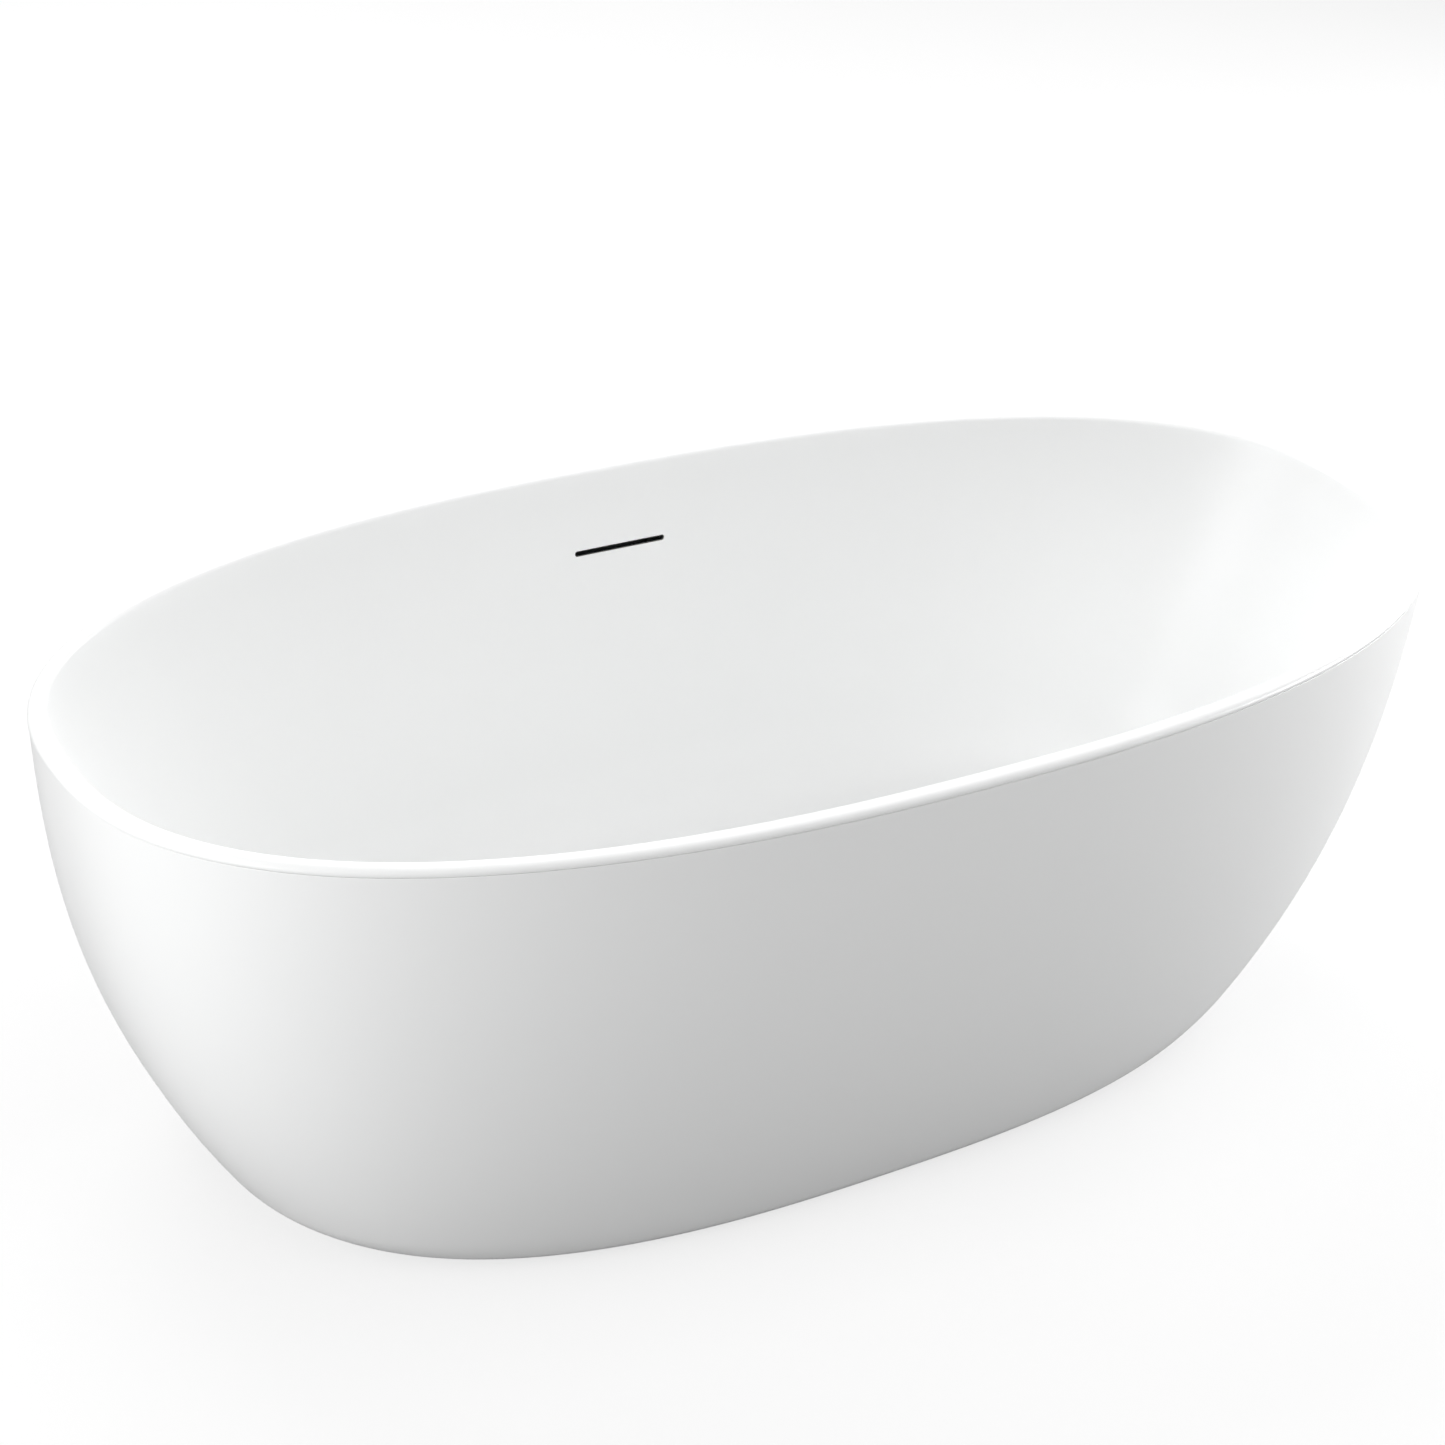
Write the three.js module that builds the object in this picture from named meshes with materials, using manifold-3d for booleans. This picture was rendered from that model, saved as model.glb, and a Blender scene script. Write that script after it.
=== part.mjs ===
// Freestanding double-skin bathtub: an oval liner (the skin that holds the water) hung by its rim
// in an oval skirt, on a board, a steel frame and four levelling feet, with a slotted overflow
// and a click plug waste.
// Millimetres, +Z up. The origin is on the floor, under the middle of the tub. +X runs along the
// tub and +Y points to the long side that has the overflow.
import * as THREE from 'three';
import { mergeVertices } from 'three/addons/utils/BufferGeometryUtils.js';
import Module from 'manifold-3d';

const wasm = await Module();
wasm.setup();

// ---- Driving dimensions ----------------------------------------------------------------------
const LENGTH = 1700;             // over the rim, along X
const WIDTH = 800;               // over the rim, along Y
const HEIGHT = 580;              // floor to the top of the rim
const GAP = 0.3;                 // between faces that touch

// The ovals are superellipses: a power of 2 is an ellipse, and more is squarer.
const RIM_POWER = 2.38;          // the rim's outer edge
const WELL_RIM_POWER = 2.44;     // the rim's inner edge
const WELL_POWER = 2.6;          // the well's flat floor
const BASE_POWER = 2.64;         // the skirt's base
const OVAL_SIDES = 48;

// Rim
const RIM_WIDTH = 20.5;          // outer edge to the wall of the well
const RIM_OUTER_RADIUS = 6.5;
const RIM_INNER_RADIUS = 6;
const RIM_LIP_HEIGHT = 9;
const RIM_LIP_THICKNESS = 4;

// Liner
const LINER_THICKNESS = 6;
const END_LEAN = 0.38;           // inward, for each millimetre down
const SIDE_LEAN = 0.24;
const END_TURN_RADIUS = 170;     // wall to floor
const SIDE_TURN_RADIUS = 110;
const FLOOR_HEIGHT = 138;        // floor to the well's lowest point, at the waste
const FLOOR_FALL = 2;

// Skirt
const SKIRT_THICKNESS = 5;
const SKIRT_CLEARANCE = 3;       // floor to the skirt's lowest edge
const END_SLOPE = 52;            // straight part of the inward slope, over the whole height
const END_SWEEP = 153;           // curved part, all of it low down
const END_SWEEP_POWER = 2.58;
const SIDE_SWEEP = 84;
const SIDE_SWEEP_POWER = 2.55;
const END_BASE_RADIUS = 56;
const SIDE_BASE_RADIUS = 24;
const TOP_FLANGE_WIDTH = 11;
const BASE_FLANGE_WIDTH = 30;

// Board and frame
const BOARD_THICKNESS = 15;
const BOARD_END_INSET = 46;      // from the edge of the flat floor
const BOARD_SIDE_INSET = 10;
const BOARD_HOLE_RADIUS = 45;
const TUBE_SIZE = 25;
const TUBE_WALL = 2;
const RAIL_PITCH = 150;          // between the two rails' middles
const RAIL_END_INSET = 70;       // from the end of the board
const FOOT_END_INSET = 170;      // from the end of the board
const FOOT_SIDE_INSET = 9;       // from the side of the board
const BAR_OVERHANG = 45;         // past the foot
const MIDDLE_SCREW_OFFSET = 60;  // clear of the overflow's hose
const SCREW_RADIUS = 3;
const SCREW_HEAD_RADIUS = 6.5;
const SCREW_HEAD_HEIGHT = 4;
const SCREW_BITE = 11;           // into the board
const SCREW_SIDES = 8;

// Feet
const STUD_RADIUS = 6;
const STUD_RUNNING_GAP = 0.4;
const STUD_PROUD = 8;            // above the weld nut
const STUD_SIDES = 16;
const NUT_FLATS = 19;
const NUT_HEIGHT = 9.5;
const PAD_RADIUS = 25;
const PAD_EDGE_HEIGHT = 8;
const PAD_BOSS_RADIUS = 11;
const PAD_HEIGHT = 20;
const PAD_FLOOR = 6;             // under the stud's end

// Skirt brackets
const BRACKET_WIDTH = 25;
const BRACKET_THICKNESS = 3;
const BRACKET_TAB = 26;
const BRACKET_GRIP = 24;         // over the skirt's base flange
const BRACKET_SCREW_RADIUS = 2;
const BRACKET_SCREW_HEAD = 4.5;

// Waste
const WASTE_RECESS_RADIUS = 36;
const WASTE_RECESS_DEPTH = 4;
const WASTE_HOLE_RADIUS = 26;
const WASTE_TUBE_RADIUS = 23;
const WASTE_TUBE_WALL = 2;
const WASTE_TUBE_LENGTH = 46;
const WASTE_FLANGE_RADIUS = 35;
const WASTE_FLANGE_HEIGHT = 2.4;
const WASTE_GASKET = 1.2;
const WASTE_WALL = 3.2;
const WASTE_BODY_RADIUS = 30;
const WASTE_COLLAR_RADIUS = 33;
const WASTE_COLLAR_HEIGHT = 5;
const OUTLET_RADIUS = 20;
const OUTLET_WALL = 2.5;
const OUTLET_FLOOR_GAP = 20;
const SLIP_NUT_HEIGHT = 20;
const SLIP_NUT_RADIUS = 29;
const PLUG_RADIUS = 30;
const PLUG_DOME = 5;
const PLUG_EDGE = 2.4;
const PLUG_TRAVEL = 9;
const SPIDER_HEIGHT = 8;
const SPIDER_ARM = 5;
const SPIDER_BOSS_RADIUS = 9;
const CARTRIDGE_RADIUS = 7;
const CARTRIDGE_BORE = 4.6;
const CARTRIDGE_STUB = 5.2;
const STEM_RADIUS = 3;
const PISTON_RADIUS = 4.2;
const PISTON_HEIGHT = 4;
const SPRING_WIRE = 0.6;
const SPRING_TURNS = 5;

// Overflow
const SLOT_DEPTH = 96;           // top of the rim to the middle of the slot
const TRIM_LENGTH = 124;
const TRIM_HEIGHT = 8.4;
const TRIM_WALL = 1;
const OVERFLOW_GASKET = 2;
const OVERFLOW_BOX_LENGTH = 150;
const OVERFLOW_BOX_HEIGHT = 38;
const OVERFLOW_BOX_WALL = 2;
const OVERFLOW_REAR_GAP = 2.4;   // to the inside of the skirt
const SPOUT_RADIUS = 8.7;
const SPOUT_WALL = 1.9;
const SPOUT_LENGTH = 24;
const HOSE_RADIUS = 12.5;
const HOSE_WALL = 3.2;
const HOSE_UNDER_RAIL = 4;
const HOSE_STEPS = 20;
const CLAMP_BAND = 0.8;
const CLAMP_WIDTH = 9;

// ---- Shapes ----------------------------------------------------------------------------------
const UP = new THREE.Vector3(0, 0, 1);

const signedPower = (value, power) => Math.sign(value) * Math.abs(value) ** power;

// Position-only copy with its shared vertices merged, as a solid.
function solidOf(geometry) {
  const bare = new THREE.BufferGeometry();
  const source = geometry.index ? geometry.toNonIndexed() : geometry;
  bare.setAttribute('position', source.getAttribute('position').clone());
  const welded = mergeVertices(bare, 1e-3);
  const triVerts = new Uint32Array(welded.index.array);
  const vertProperties = welded.attributes.position.array;
  return new wasm.Manifold(new wasm.Mesh({ numProp: 3, vertProperties, triVerts }));
}

function geometryOf(solid) {
  const { vertProperties, triVerts } = solid.getMesh();
  const geometry = new THREE.BufferGeometry();
  geometry.setAttribute('position', new THREE.BufferAttribute(vertProperties, 3));
  geometry.setIndex(new THREE.BufferAttribute(triVerts, 1));
  const faceted = geometry.toNonIndexed();
  faceted.computeVertexNormals();
  return faceted;
}

// One solid less several others.
function cut(geometry, ...tools) {
  return geometryOf(tools.reduce((rest, tool) => rest.subtract(solidOf(tool)), solidOf(geometry)));
}

function join(...geometries) {
  const solids = geometries.map(solidOf);
  return geometryOf(solids.slice(1).reduce((whole, solid) => whole.add(solid), solids[0]));
}

// Turned about Z. The outline is [radius, height] pairs, run anticlockwise, with the radius to the right.
function turned(outline, sides) {
  const points = outline.map(([radius, height]) => new THREE.Vector2(radius, height));
  const first = points[0];
  const last = points[points.length - 1];
  if (first.x > 0 || last.x > 0) points.push(first.clone());
  const geometry = new THREE.LatheGeometry(points, sides);
  geometry.rotateX(Math.PI / 2);
  return geometry;
}

const disc = (radius, low, high, sides) => turned([[0, low], [radius, low], [radius, high], [0, high]], sides);

const ring = (inner, outer, low, high, sides) => (
  turned([[inner, low], [outer, low], [outer, high], [inner, high]], sides)
);

// A ring of ovals through closed stations of { a, b, power, z }: half-length, half-width, squareness, height.
function ovalRing(stations) {
  const closed = [...stations, stations[0]];
  const outline = closed.map(({ z }) => new THREE.Vector2(1, z));
  const geometry = new THREE.LatheGeometry(outline, OVAL_SIDES);
  const position = geometry.getAttribute('position');
  for (let index = 0; index < position.count; index += 1) {
    const { a, b, power, z } = closed[index % closed.length];
    const angle = (Math.floor(index / closed.length) % OVAL_SIDES) / OVAL_SIDES * 2 * Math.PI;
    const x = a * signedPower(Math.cos(angle), 2 / power);
    const y = b * signedPower(Math.sin(angle), 2 / power);
    position.setXYZ(index, x, y, z);
  }
  return geometry;
}

// A bar with round ends, or a ring of one, as an outline in the plane.
function roundEnded(length, height) {
  const radius = height / 2;
  const reach = length / 2 - radius;
  const shape = new THREE.Shape();
  shape.absarc(reach, 0, radius, -Math.PI / 2, Math.PI / 2, false);
  shape.absarc(-reach, 0, radius, Math.PI / 2, Math.PI * 1.5, false);
  shape.closePath();
  return shape;
}

// Extruded along +Y from near to far, with the outline in X and Z.
function extrudedBack(shape, near, far, curveSegments = 5) {
  const geometry = new THREE.ExtrudeGeometry(shape, { depth: far - near, bevelEnabled: false, curveSegments });
  geometry.rotateX(Math.PI / 2);
  geometry.translate(0, far, 0);
  return geometry;
}

function block(low, high) {
  const size = high.map((value, axis) => value - low[axis]);
  const geometry = new THREE.BoxGeometry(...size);
  geometry.translate(...low.map((value, axis) => value + size[axis] / 2));
  return geometry;
}

// A square tube along X, open at both ends, centred on the origin.
function squareTube(length) {
  const half = TUBE_SIZE / 2;
  const bore = half - TUBE_WALL;
  const outline = new THREE.Shape([[-half, -half], [half, -half], [half, half], [-half, half]].map(asPoint));
  outline.holes.push(new THREE.Path([[-bore, -bore], [-bore, bore], [bore, bore], [bore, -bore]].map(asPoint)));
  const geometry = new THREE.ExtrudeGeometry(outline, { depth: length, bevelEnabled: false });
  geometry.translate(0, 0, -length / 2);
  geometry.rotateY(Math.PI / 2);
  return geometry;
}

function asPoint([x, y]) {
  return new THREE.Vector2(x, y);
}

// ---- The two skins' surfaces -------------------------------------------------------------------
const halfLength = LENGTH / 2;
const halfWidth = WIDTH / 2;
const seamHeight = HEIGHT - RIM_LIP_HEIGHT;

const mix = (from, to, share) => from + (to - from) * share;

// Half-size of the skirt's outside at a height, along one axis.
function skirtReach(half, slope, sweep, sweepPower, baseRadius, z) {
  const drop = 1 - z / HEIGHT;
  const wall = half - slope * drop - sweep * drop ** sweepPower;
  if (z >= baseRadius) return wall;
  return wall - baseRadius + Math.sqrt(baseRadius ** 2 - (baseRadius - z) ** 2);
}

const skirtLength = (z) => (
  skirtReach(halfLength, END_SLOPE, END_SWEEP, END_SWEEP_POWER, END_BASE_RADIUS, z)
);
const skirtWidth = (z) => skirtReach(halfWidth, 0, SIDE_SWEEP, SIDE_SWEEP_POWER, SIDE_BASE_RADIUS, z);
const skirtPower = (z) => mix(BASE_POWER, RIM_POWER, z / HEIGHT);

// Level thickness that keeps the true thickness on a sloping wall.
function levelThickness(reach, z, thickness) {
  const step = 0.5;
  const slope = (reach(z + step) - reach(z)) / step;
  return thickness * Math.sqrt(1 + slope ** 2);
}

function skirtStation(z, inward = 0) {
  const a = skirtLength(z) - levelThickness(skirtLength, z, inward);
  const b = skirtWidth(z) - levelThickness(skirtWidth, z, inward);
  return { a, b, power: skirtPower(z), z };
}

// One wall of the well in section: a rim round, a leaning line, then a turn into the floor.
// The back of the sheet is the same wall with an offset.
function wellWall(half, lean, turnRadius) {
  const start = half - RIM_WIDTH;
  const steep = Math.sqrt(1 + lean ** 2);
  const floorZ = FLOOR_HEIGHT + FLOOR_FALL;
  const turnZ = floorZ + turnRadius;
  const floorReach = start - lean * (HEIGHT - turnZ) - turnRadius * steep;
  const rimTurn = Math.PI / 2 - Math.atan(lean);
  const rimReach = start + RIM_INNER_RADIUS * Math.tan(rimTurn / 2);
  const rimLow = HEIGHT - RIM_INNER_RADIUS * (1 - Math.cos(rimTurn));
  const reach = (z, offset = 0) => {
    const radius = turnRadius + offset;
    const tangentZ = turnZ - radius * lean / steep;
    if (z < tangentZ) return floorReach + Math.sqrt(Math.max(radius ** 2 - (turnZ - z) ** 2, 0));
    if (offset === 0 && z > rimLow) {
      const rise = RIM_INNER_RADIUS - (HEIGHT - z);
      return rimReach - Math.sqrt(RIM_INNER_RADIUS ** 2 - rise ** 2);
    }
    return start + offset * steep - lean * (HEIGHT - z);
  };
  return { reach, floorReach, rimReach };
}

const endWall = wellWall(halfLength, END_LEAN, END_TURN_RADIUS);
const sideWall = wellWall(halfWidth, SIDE_LEAN, SIDE_TURN_RADIUS);
const wellEdge = FLOOR_HEIGHT + FLOOR_FALL;
const wellPower = (z) => mix(WELL_POWER, WELL_RIM_POWER, (z - wellEdge) / (HEIGHT - wellEdge));

function wellStation(z, offset = 0) {
  return { a: endWall.reach(z, offset), b: sideWall.reach(z, offset), power: wellPower(z), z };
}

// An even step in from the rim's outer edge.
const rimStation = (inset, z) => ({ a: halfLength - inset, b: halfWidth - inset, power: RIM_POWER, z });

const roundStation = (radius, z) => ({ a: radius, b: radius, power: 2, z });

// ---- Heights that stack down from the well's floor ----------------------------------------------
const recessZ = FLOOR_HEIGHT - WASTE_RECESS_DEPTH;
const recessUnderside = recessZ - LINER_THICKNESS;
const boardTop = FLOOR_HEIGHT - LINER_THICKNESS - GAP;
const boardBottom = boardTop - BOARD_THICKNESS;
const railTop = boardBottom - GAP;
const railBottom = railTop - TUBE_SIZE;
const barTop = railBottom - GAP;
const barBottom = barTop - TUBE_SIZE;
const portZ = railBottom - HOSE_UNDER_RAIL - HOSE_RADIUS;

const boardHalfLength = endWall.floorReach - BOARD_END_INSET;
const boardHalfWidth = sideWall.floorReach - BOARD_SIDE_INSET;
const railSigns = [-1, 1];
const barSigns = [-1, 1];
const railY = RAIL_PITCH / 2;
const footX = boardHalfLength - FOOT_END_INSET;
const footY = boardHalfWidth - FOOT_SIDE_INSET;
const barHalf = footY + BAR_OVERHANG;

// ---- The skirt's base flange -----------------------------------------------------------------------
const flangeTop = SKIRT_CLEARANCE + SKIRT_THICKNESS;

// Half-width of the base flange's inner edge at a place along the tub.
function baseFlangeReach(x) {
  const a = skirtLength(SKIRT_CLEARANCE) - BASE_FLANGE_WIDTH;
  const b = skirtWidth(SKIRT_CLEARANCE) - BASE_FLANGE_WIDTH;
  return b * (1 - (x / a) ** BASE_POWER) ** (1 / BASE_POWER);
}

const flangeY = baseFlangeReach(footX);
const bracketScrewY = flangeY + BRACKET_GRIP / 2;

const bracketHole = (end, side) => {
  const hole = disc(BRACKET_SCREW_RADIUS + GAP, 0, barBottom / 2, SCREW_SIDES);
  hole.translate(end * footX, side * bracketScrewY, 0);
  return hole;
};

// ---- The overflow's own frame ----------------------------------------------------------------------
// Its origin is on the face of the far wall, its +Y runs square through the wall towards the skirt.
const slotZ = HEIGHT - SLOT_DEPTH;
const overflowPlace = new THREE.Group();
overflowPlace.position.set(0, sideWall.reach(slotZ), slotZ);
overflowPlace.rotation.x = -Math.atan(SIDE_LEAN);
overflowPlace.updateMatrix();

const overflowPoint = (y, z) => new THREE.Vector3(0, y, z).applyMatrix4(overflowPlace.matrix);

// ---- The skins -----------------------------------------------------------------------------------
function linerGeometry() {
  const roundStart = HEIGHT - RIM_OUTER_RADIUS;
  const outerRound = [1, 2, 3].map((step) => {
    const angle = step / 3 * Math.PI / 2;
    const inset = RIM_OUTER_RADIUS * (1 - Math.cos(angle));
    return rimStation(inset, roundStart + RIM_OUTER_RADIUS * Math.sin(angle));
  });
  const rimTop = { a: endWall.rimReach, b: sideWall.rimReach, power: WELL_RIM_POWER, z: HEIGHT };
  const rimRound = [0.15, 0.42, 0.76].map((share) => wellStation(HEIGHT - share * RIM_INNER_RADIUS));
  const turnTop = wellEdge + END_TURN_RADIUS * (1 - END_LEAN / Math.sqrt(1 + END_LEAN ** 2));
  const walls = [0.25, 0.6, 1].map((share) => wellStation(mix(HEIGHT, turnTop, share)));
  const turnAngles = [59, 48, 37, 26, 14].map(THREE.MathUtils.degToRad);
  const turn = turnAngles.map((angle) => wellStation(wellEdge + END_TURN_RADIUS * (1 - Math.cos(angle))));
  const floorEdge = { a: endWall.floorReach, b: sideWall.floorReach, power: WELL_POWER, z: wellEdge };
  const middle = (drop) => ({
    a: mix(WASTE_RECESS_RADIUS, endWall.floorReach, 0.4),
    b: mix(WASTE_RECESS_RADIUS, sideWall.floorReach, 0.4),
    power: mix(2, WELL_POWER, 0.4),
    z: mix(FLOOR_HEIGHT, wellEdge, 0.4) - drop,
  });
  const waste = [
    roundStation(WASTE_RECESS_RADIUS, FLOOR_HEIGHT),
    roundStation(WASTE_RECESS_RADIUS, recessZ),
    roundStation(WASTE_HOLE_RADIUS, recessZ),
    roundStation(WASTE_HOLE_RADIUS, recessUnderside),
    roundStation(WASTE_RECESS_RADIUS + LINER_THICKNESS, recessUnderside),
    roundStation(WASTE_RECESS_RADIUS + LINER_THICKNESS, FLOOR_HEIGHT - LINER_THICKNESS),
  ];
  const underEdge = { ...floorEdge, z: wellEdge - LINER_THICKNESS };
  const backAngles = [16, 30, 45, 60].map(THREE.MathUtils.degToRad);
  const backRadius = END_TURN_RADIUS + LINER_THICKNESS;
  const back = backAngles.map((angle) => (
    wellStation(underEdge.z + backRadius * (1 - Math.cos(angle)), LINER_THICKNESS)
  ));
  const underRim = HEIGHT - LINER_THICKNESS;
  const stations = [
    rimStation(RIM_LIP_THICKNESS, seamHeight),
    rimStation(0, seamHeight),
    rimStation(0, roundStart),
    ...outerRound,
    rimTop,
    ...rimRound,
    ...walls,
    ...turn,
    floorEdge,
    middle(0),
    ...waste,
    middle(LINER_THICKNESS),
    underEdge,
    ...back,
    wellStation(turnTop, LINER_THICKNESS),
    wellStation(mix(turnTop, underRim, 0.5), LINER_THICKNESS),
    wellStation(underRim, LINER_THICKNESS),
    rimStation(RIM_LIP_THICKNESS, underRim),
  ];
  const slot = extrudedBack(roundEnded(TRIM_LENGTH + 2 * GAP, TRIM_HEIGHT + 2 * GAP), -12, 18);
  slot.applyMatrix4(overflowPlace.matrix);
  return cut(ovalRing(stations), slot);
}

function skirtGeometry() {
  const top = seamHeight - GAP;
  const flangeUnder = top - SKIRT_THICKNESS;
  // Close together in the rounded base, and even above it.
  const roundHeights = [0.3, 0.57, 1].map((share) => share * END_BASE_RADIUS);
  const evenHeights = [1, 2, 3, 4, 5, 6].map((step) => mix(END_BASE_RADIUS, flangeUnder, step / 7));
  const heights = [...roundHeights, ...evenHeights];
  const outside = [SKIRT_CLEARANCE, flangeTop, ...heights, top].map((z) => skirtStation(z));
  const inside = heights.reverse().map((z) => skirtStation(z, SKIRT_THICKNESS));
  const flangeEdge = (z) => ({
    a: skirtLength(SKIRT_CLEARANCE) - BASE_FLANGE_WIDTH,
    b: skirtWidth(SKIRT_CLEARANCE) - BASE_FLANGE_WIDTH,
    power: BASE_POWER,
    z,
  });
  const topEdge = (z) => ({
    a: skirtLength(top) - TOP_FLANGE_WIDTH,
    b: skirtWidth(top) - TOP_FLANGE_WIDTH,
    power: WELL_RIM_POWER,
    z,
  });
  const skirt = ovalRing([
    ...outside,
    topEdge(top),
    topEdge(flangeUnder),
    skirtStation(flangeUnder, SKIRT_THICKNESS),
    ...inside,
    skirtStation(flangeTop, SKIRT_THICKNESS),
    flangeEdge(flangeTop),
    flangeEdge(SKIRT_CLEARANCE),
  ]);
  return cut(skirt, ...barSigns.flatMap((end) => railSigns.map((side) => bracketHole(end, side))));
}

// Adhesive between the skirt's top flange and the underside of the rim.
function bondGeometry() {
  const low = seamHeight;
  const high = HEIGHT - LINER_THICKNESS - GAP;
  const outer = (z) => rimStation(RIM_LIP_THICKNESS + GAP, z);
  const inner = (z) => ({ ...rimStation(TOP_FLANGE_WIDTH, z), power: WELL_RIM_POWER });
  return ovalRing([inner(low), outer(low), outer(high), inner(high)]);
}


// ---- Board and frame -----------------------------------------------------------------------------
// Where the frame's screws stand: at each crossing of a rail and a bar, and near the middle of each rail.
const screwPlaces = railSigns.flatMap((side) => [
  { x: -footX, y: side * railY, low: barBottom },
  { x: MIDDLE_SCREW_OFFSET, y: side * railY, low: railBottom },
  { x: footX, y: side * railY, low: barBottom },
]);

// Clearance holes for the frame's screws, through everything they cross.
const screwHoles = (places) => places.map(({ x, y }) => {
  const hole = disc(SCREW_RADIUS + GAP, 0, boardTop - GAP, SCREW_SIDES);
  hole.translate(x, y, 0);
  return hole;
});

function boardGeometry() {
  const edge = (z) => ({ a: boardHalfLength, b: boardHalfWidth, power: WELL_POWER, z });
  const holeEdge = (z) => roundStation(BOARD_HOLE_RADIUS, z);
  const board = ovalRing([edge(boardBottom), edge(boardTop), holeEdge(boardTop), holeEdge(boardBottom)]);
  const pilots = screwPlaces.map(({ x, y }) => {
    const hole = disc(SCREW_RADIUS + GAP, boardBottom - GAP, boardBottom + SCREW_BITE + GAP, SCREW_SIDES);
    hole.translate(x, y, 0);
    return hole;
  });
  return cut(board, ...pilots);
}

function railGeometry(side) {
  const rail = squareTube(2 * (boardHalfLength - RAIL_END_INSET));
  rail.translate(0, side * railY, railTop - TUBE_SIZE / 2);
  return cut(rail, ...screwHoles(screwPlaces.filter(({ y }) => y === side * railY)));
}

function barGeometry(end) {
  const bar = squareTube(2 * barHalf);
  bar.rotateZ(Math.PI / 2);
  bar.translate(end * footX, 0, barTop - TUBE_SIZE / 2);
  const studHoles = railSigns.map((side) => {
    const hole = disc(STUD_RADIUS + STUD_RUNNING_GAP, 0, boardTop, STUD_SIDES);
    hole.translate(end * footX, side * footY, 0);
    return hole;
  });
  return cut(bar, ...screwHoles(screwPlaces.filter(({ x }) => x === end * footX)), ...studHoles);
}

// A hexagon-headed screw standing on z = 0 with its head below.
function screwGeometry(shank) {
  const head = disc(SCREW_HEAD_RADIUS, -SCREW_HEAD_HEIGHT - GAP, -GAP, 6);
  const body = disc(SCREW_RADIUS, -SCREW_HEAD_HEIGHT / 2, shank, SCREW_SIDES);
  return join(head, body);
}

// ---- Feet ----------------------------------------------------------------------------------------
function nutGeometry() {
  const outline = new THREE.Shape();
  const corner = NUT_FLATS / Math.sqrt(3);
  for (let step = 0; step < 6; step += 1) {
    const angle = step / 6 * 2 * Math.PI;
    const draw = step === 0 ? 'moveTo' : 'lineTo';
    outline[draw](corner * Math.cos(angle), corner * Math.sin(angle));
  }
  outline.closePath();
  const bore = new THREE.Path();
  bore.absarc(0, 0, STUD_RADIUS + STUD_RUNNING_GAP, 0, 2 * Math.PI, true);
  outline.holes.push(bore);
  return new THREE.ExtrudeGeometry(outline, { depth: NUT_HEIGHT, bevelEnabled: false, curveSegments: 6 });
}

const studGeometry = () => {
  const top = barTop + NUT_HEIGHT + STUD_PROUD;
  const tip = STUD_RADIUS * 0.7;
  return turned([
    [0, PAD_FLOOR + GAP],
    [tip, PAD_FLOOR + GAP],
    [STUD_RADIUS, PAD_FLOOR + GAP + STUD_RADIUS - tip],
    [STUD_RADIUS, top - STUD_RADIUS + tip],
    [tip, top],
    [0, top],
  ], STUD_SIDES);
};

const padGeometry = () => turned([
  [0, 0],
  [PAD_RADIUS, 0],
  [PAD_RADIUS, PAD_EDGE_HEIGHT],
  [PAD_BOSS_RADIUS + 2, PAD_EDGE_HEIGHT + 3],
  [PAD_BOSS_RADIUS, PAD_HEIGHT],
  [STUD_RADIUS + STUD_RUNNING_GAP, PAD_HEIGHT],
  [STUD_RADIUS + STUD_RUNNING_GAP, PAD_FLOOR],
  [0, PAD_FLOOR],
], 18);

// ---- Skirt brackets --------------------------------------------------------------------------------
// A bent strap from under the end of a bar down and out onto the skirt's base flange.
function bracketGeometry() {
  const low = flangeTop + GAP;
  const high = barBottom - GAP;
  const web = barHalf + BRACKET_THICKNESS;
  const outline = new THREE.Shape([
    [barHalf - BRACKET_TAB, high - BRACKET_THICKNESS],
    [web - BRACKET_THICKNESS, high - BRACKET_THICKNESS],
    [flangeY - 8, low],
    [flangeY + BRACKET_GRIP, low],
    [flangeY + BRACKET_GRIP, low + BRACKET_THICKNESS],
    [flangeY - 8 + BRACKET_THICKNESS, low + BRACKET_THICKNESS],
    [web, high],
    [barHalf - BRACKET_TAB, high],
  ].map(asPoint));
  const geometry = new THREE.ExtrudeGeometry(outline, { depth: BRACKET_WIDTH, bevelEnabled: false });
  geometry.translate(0, 0, -BRACKET_WIDTH / 2);
  geometry.rotateX(Math.PI / 2);
  geometry.rotateZ(Math.PI / 2);
  return geometry;
}

// A pan-headed screw with its head standing on z = 0.
function skirtScrewGeometry() {
  const tip = SKIRT_CLEARANCE + GAP - (flangeTop + GAP + BRACKET_THICKNESS);
  return turned([
    [0, tip],
    [BRACKET_SCREW_RADIUS, tip],
    [BRACKET_SCREW_RADIUS, GAP],
    [BRACKET_SCREW_HEAD, GAP],
    [BRACKET_SCREW_HEAD, GAP + 1.6],
    [BRACKET_SCREW_HEAD - 1.5, GAP + 2.8],
    [0, GAP + 2.8],
  ], SCREW_SIDES);
}

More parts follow.
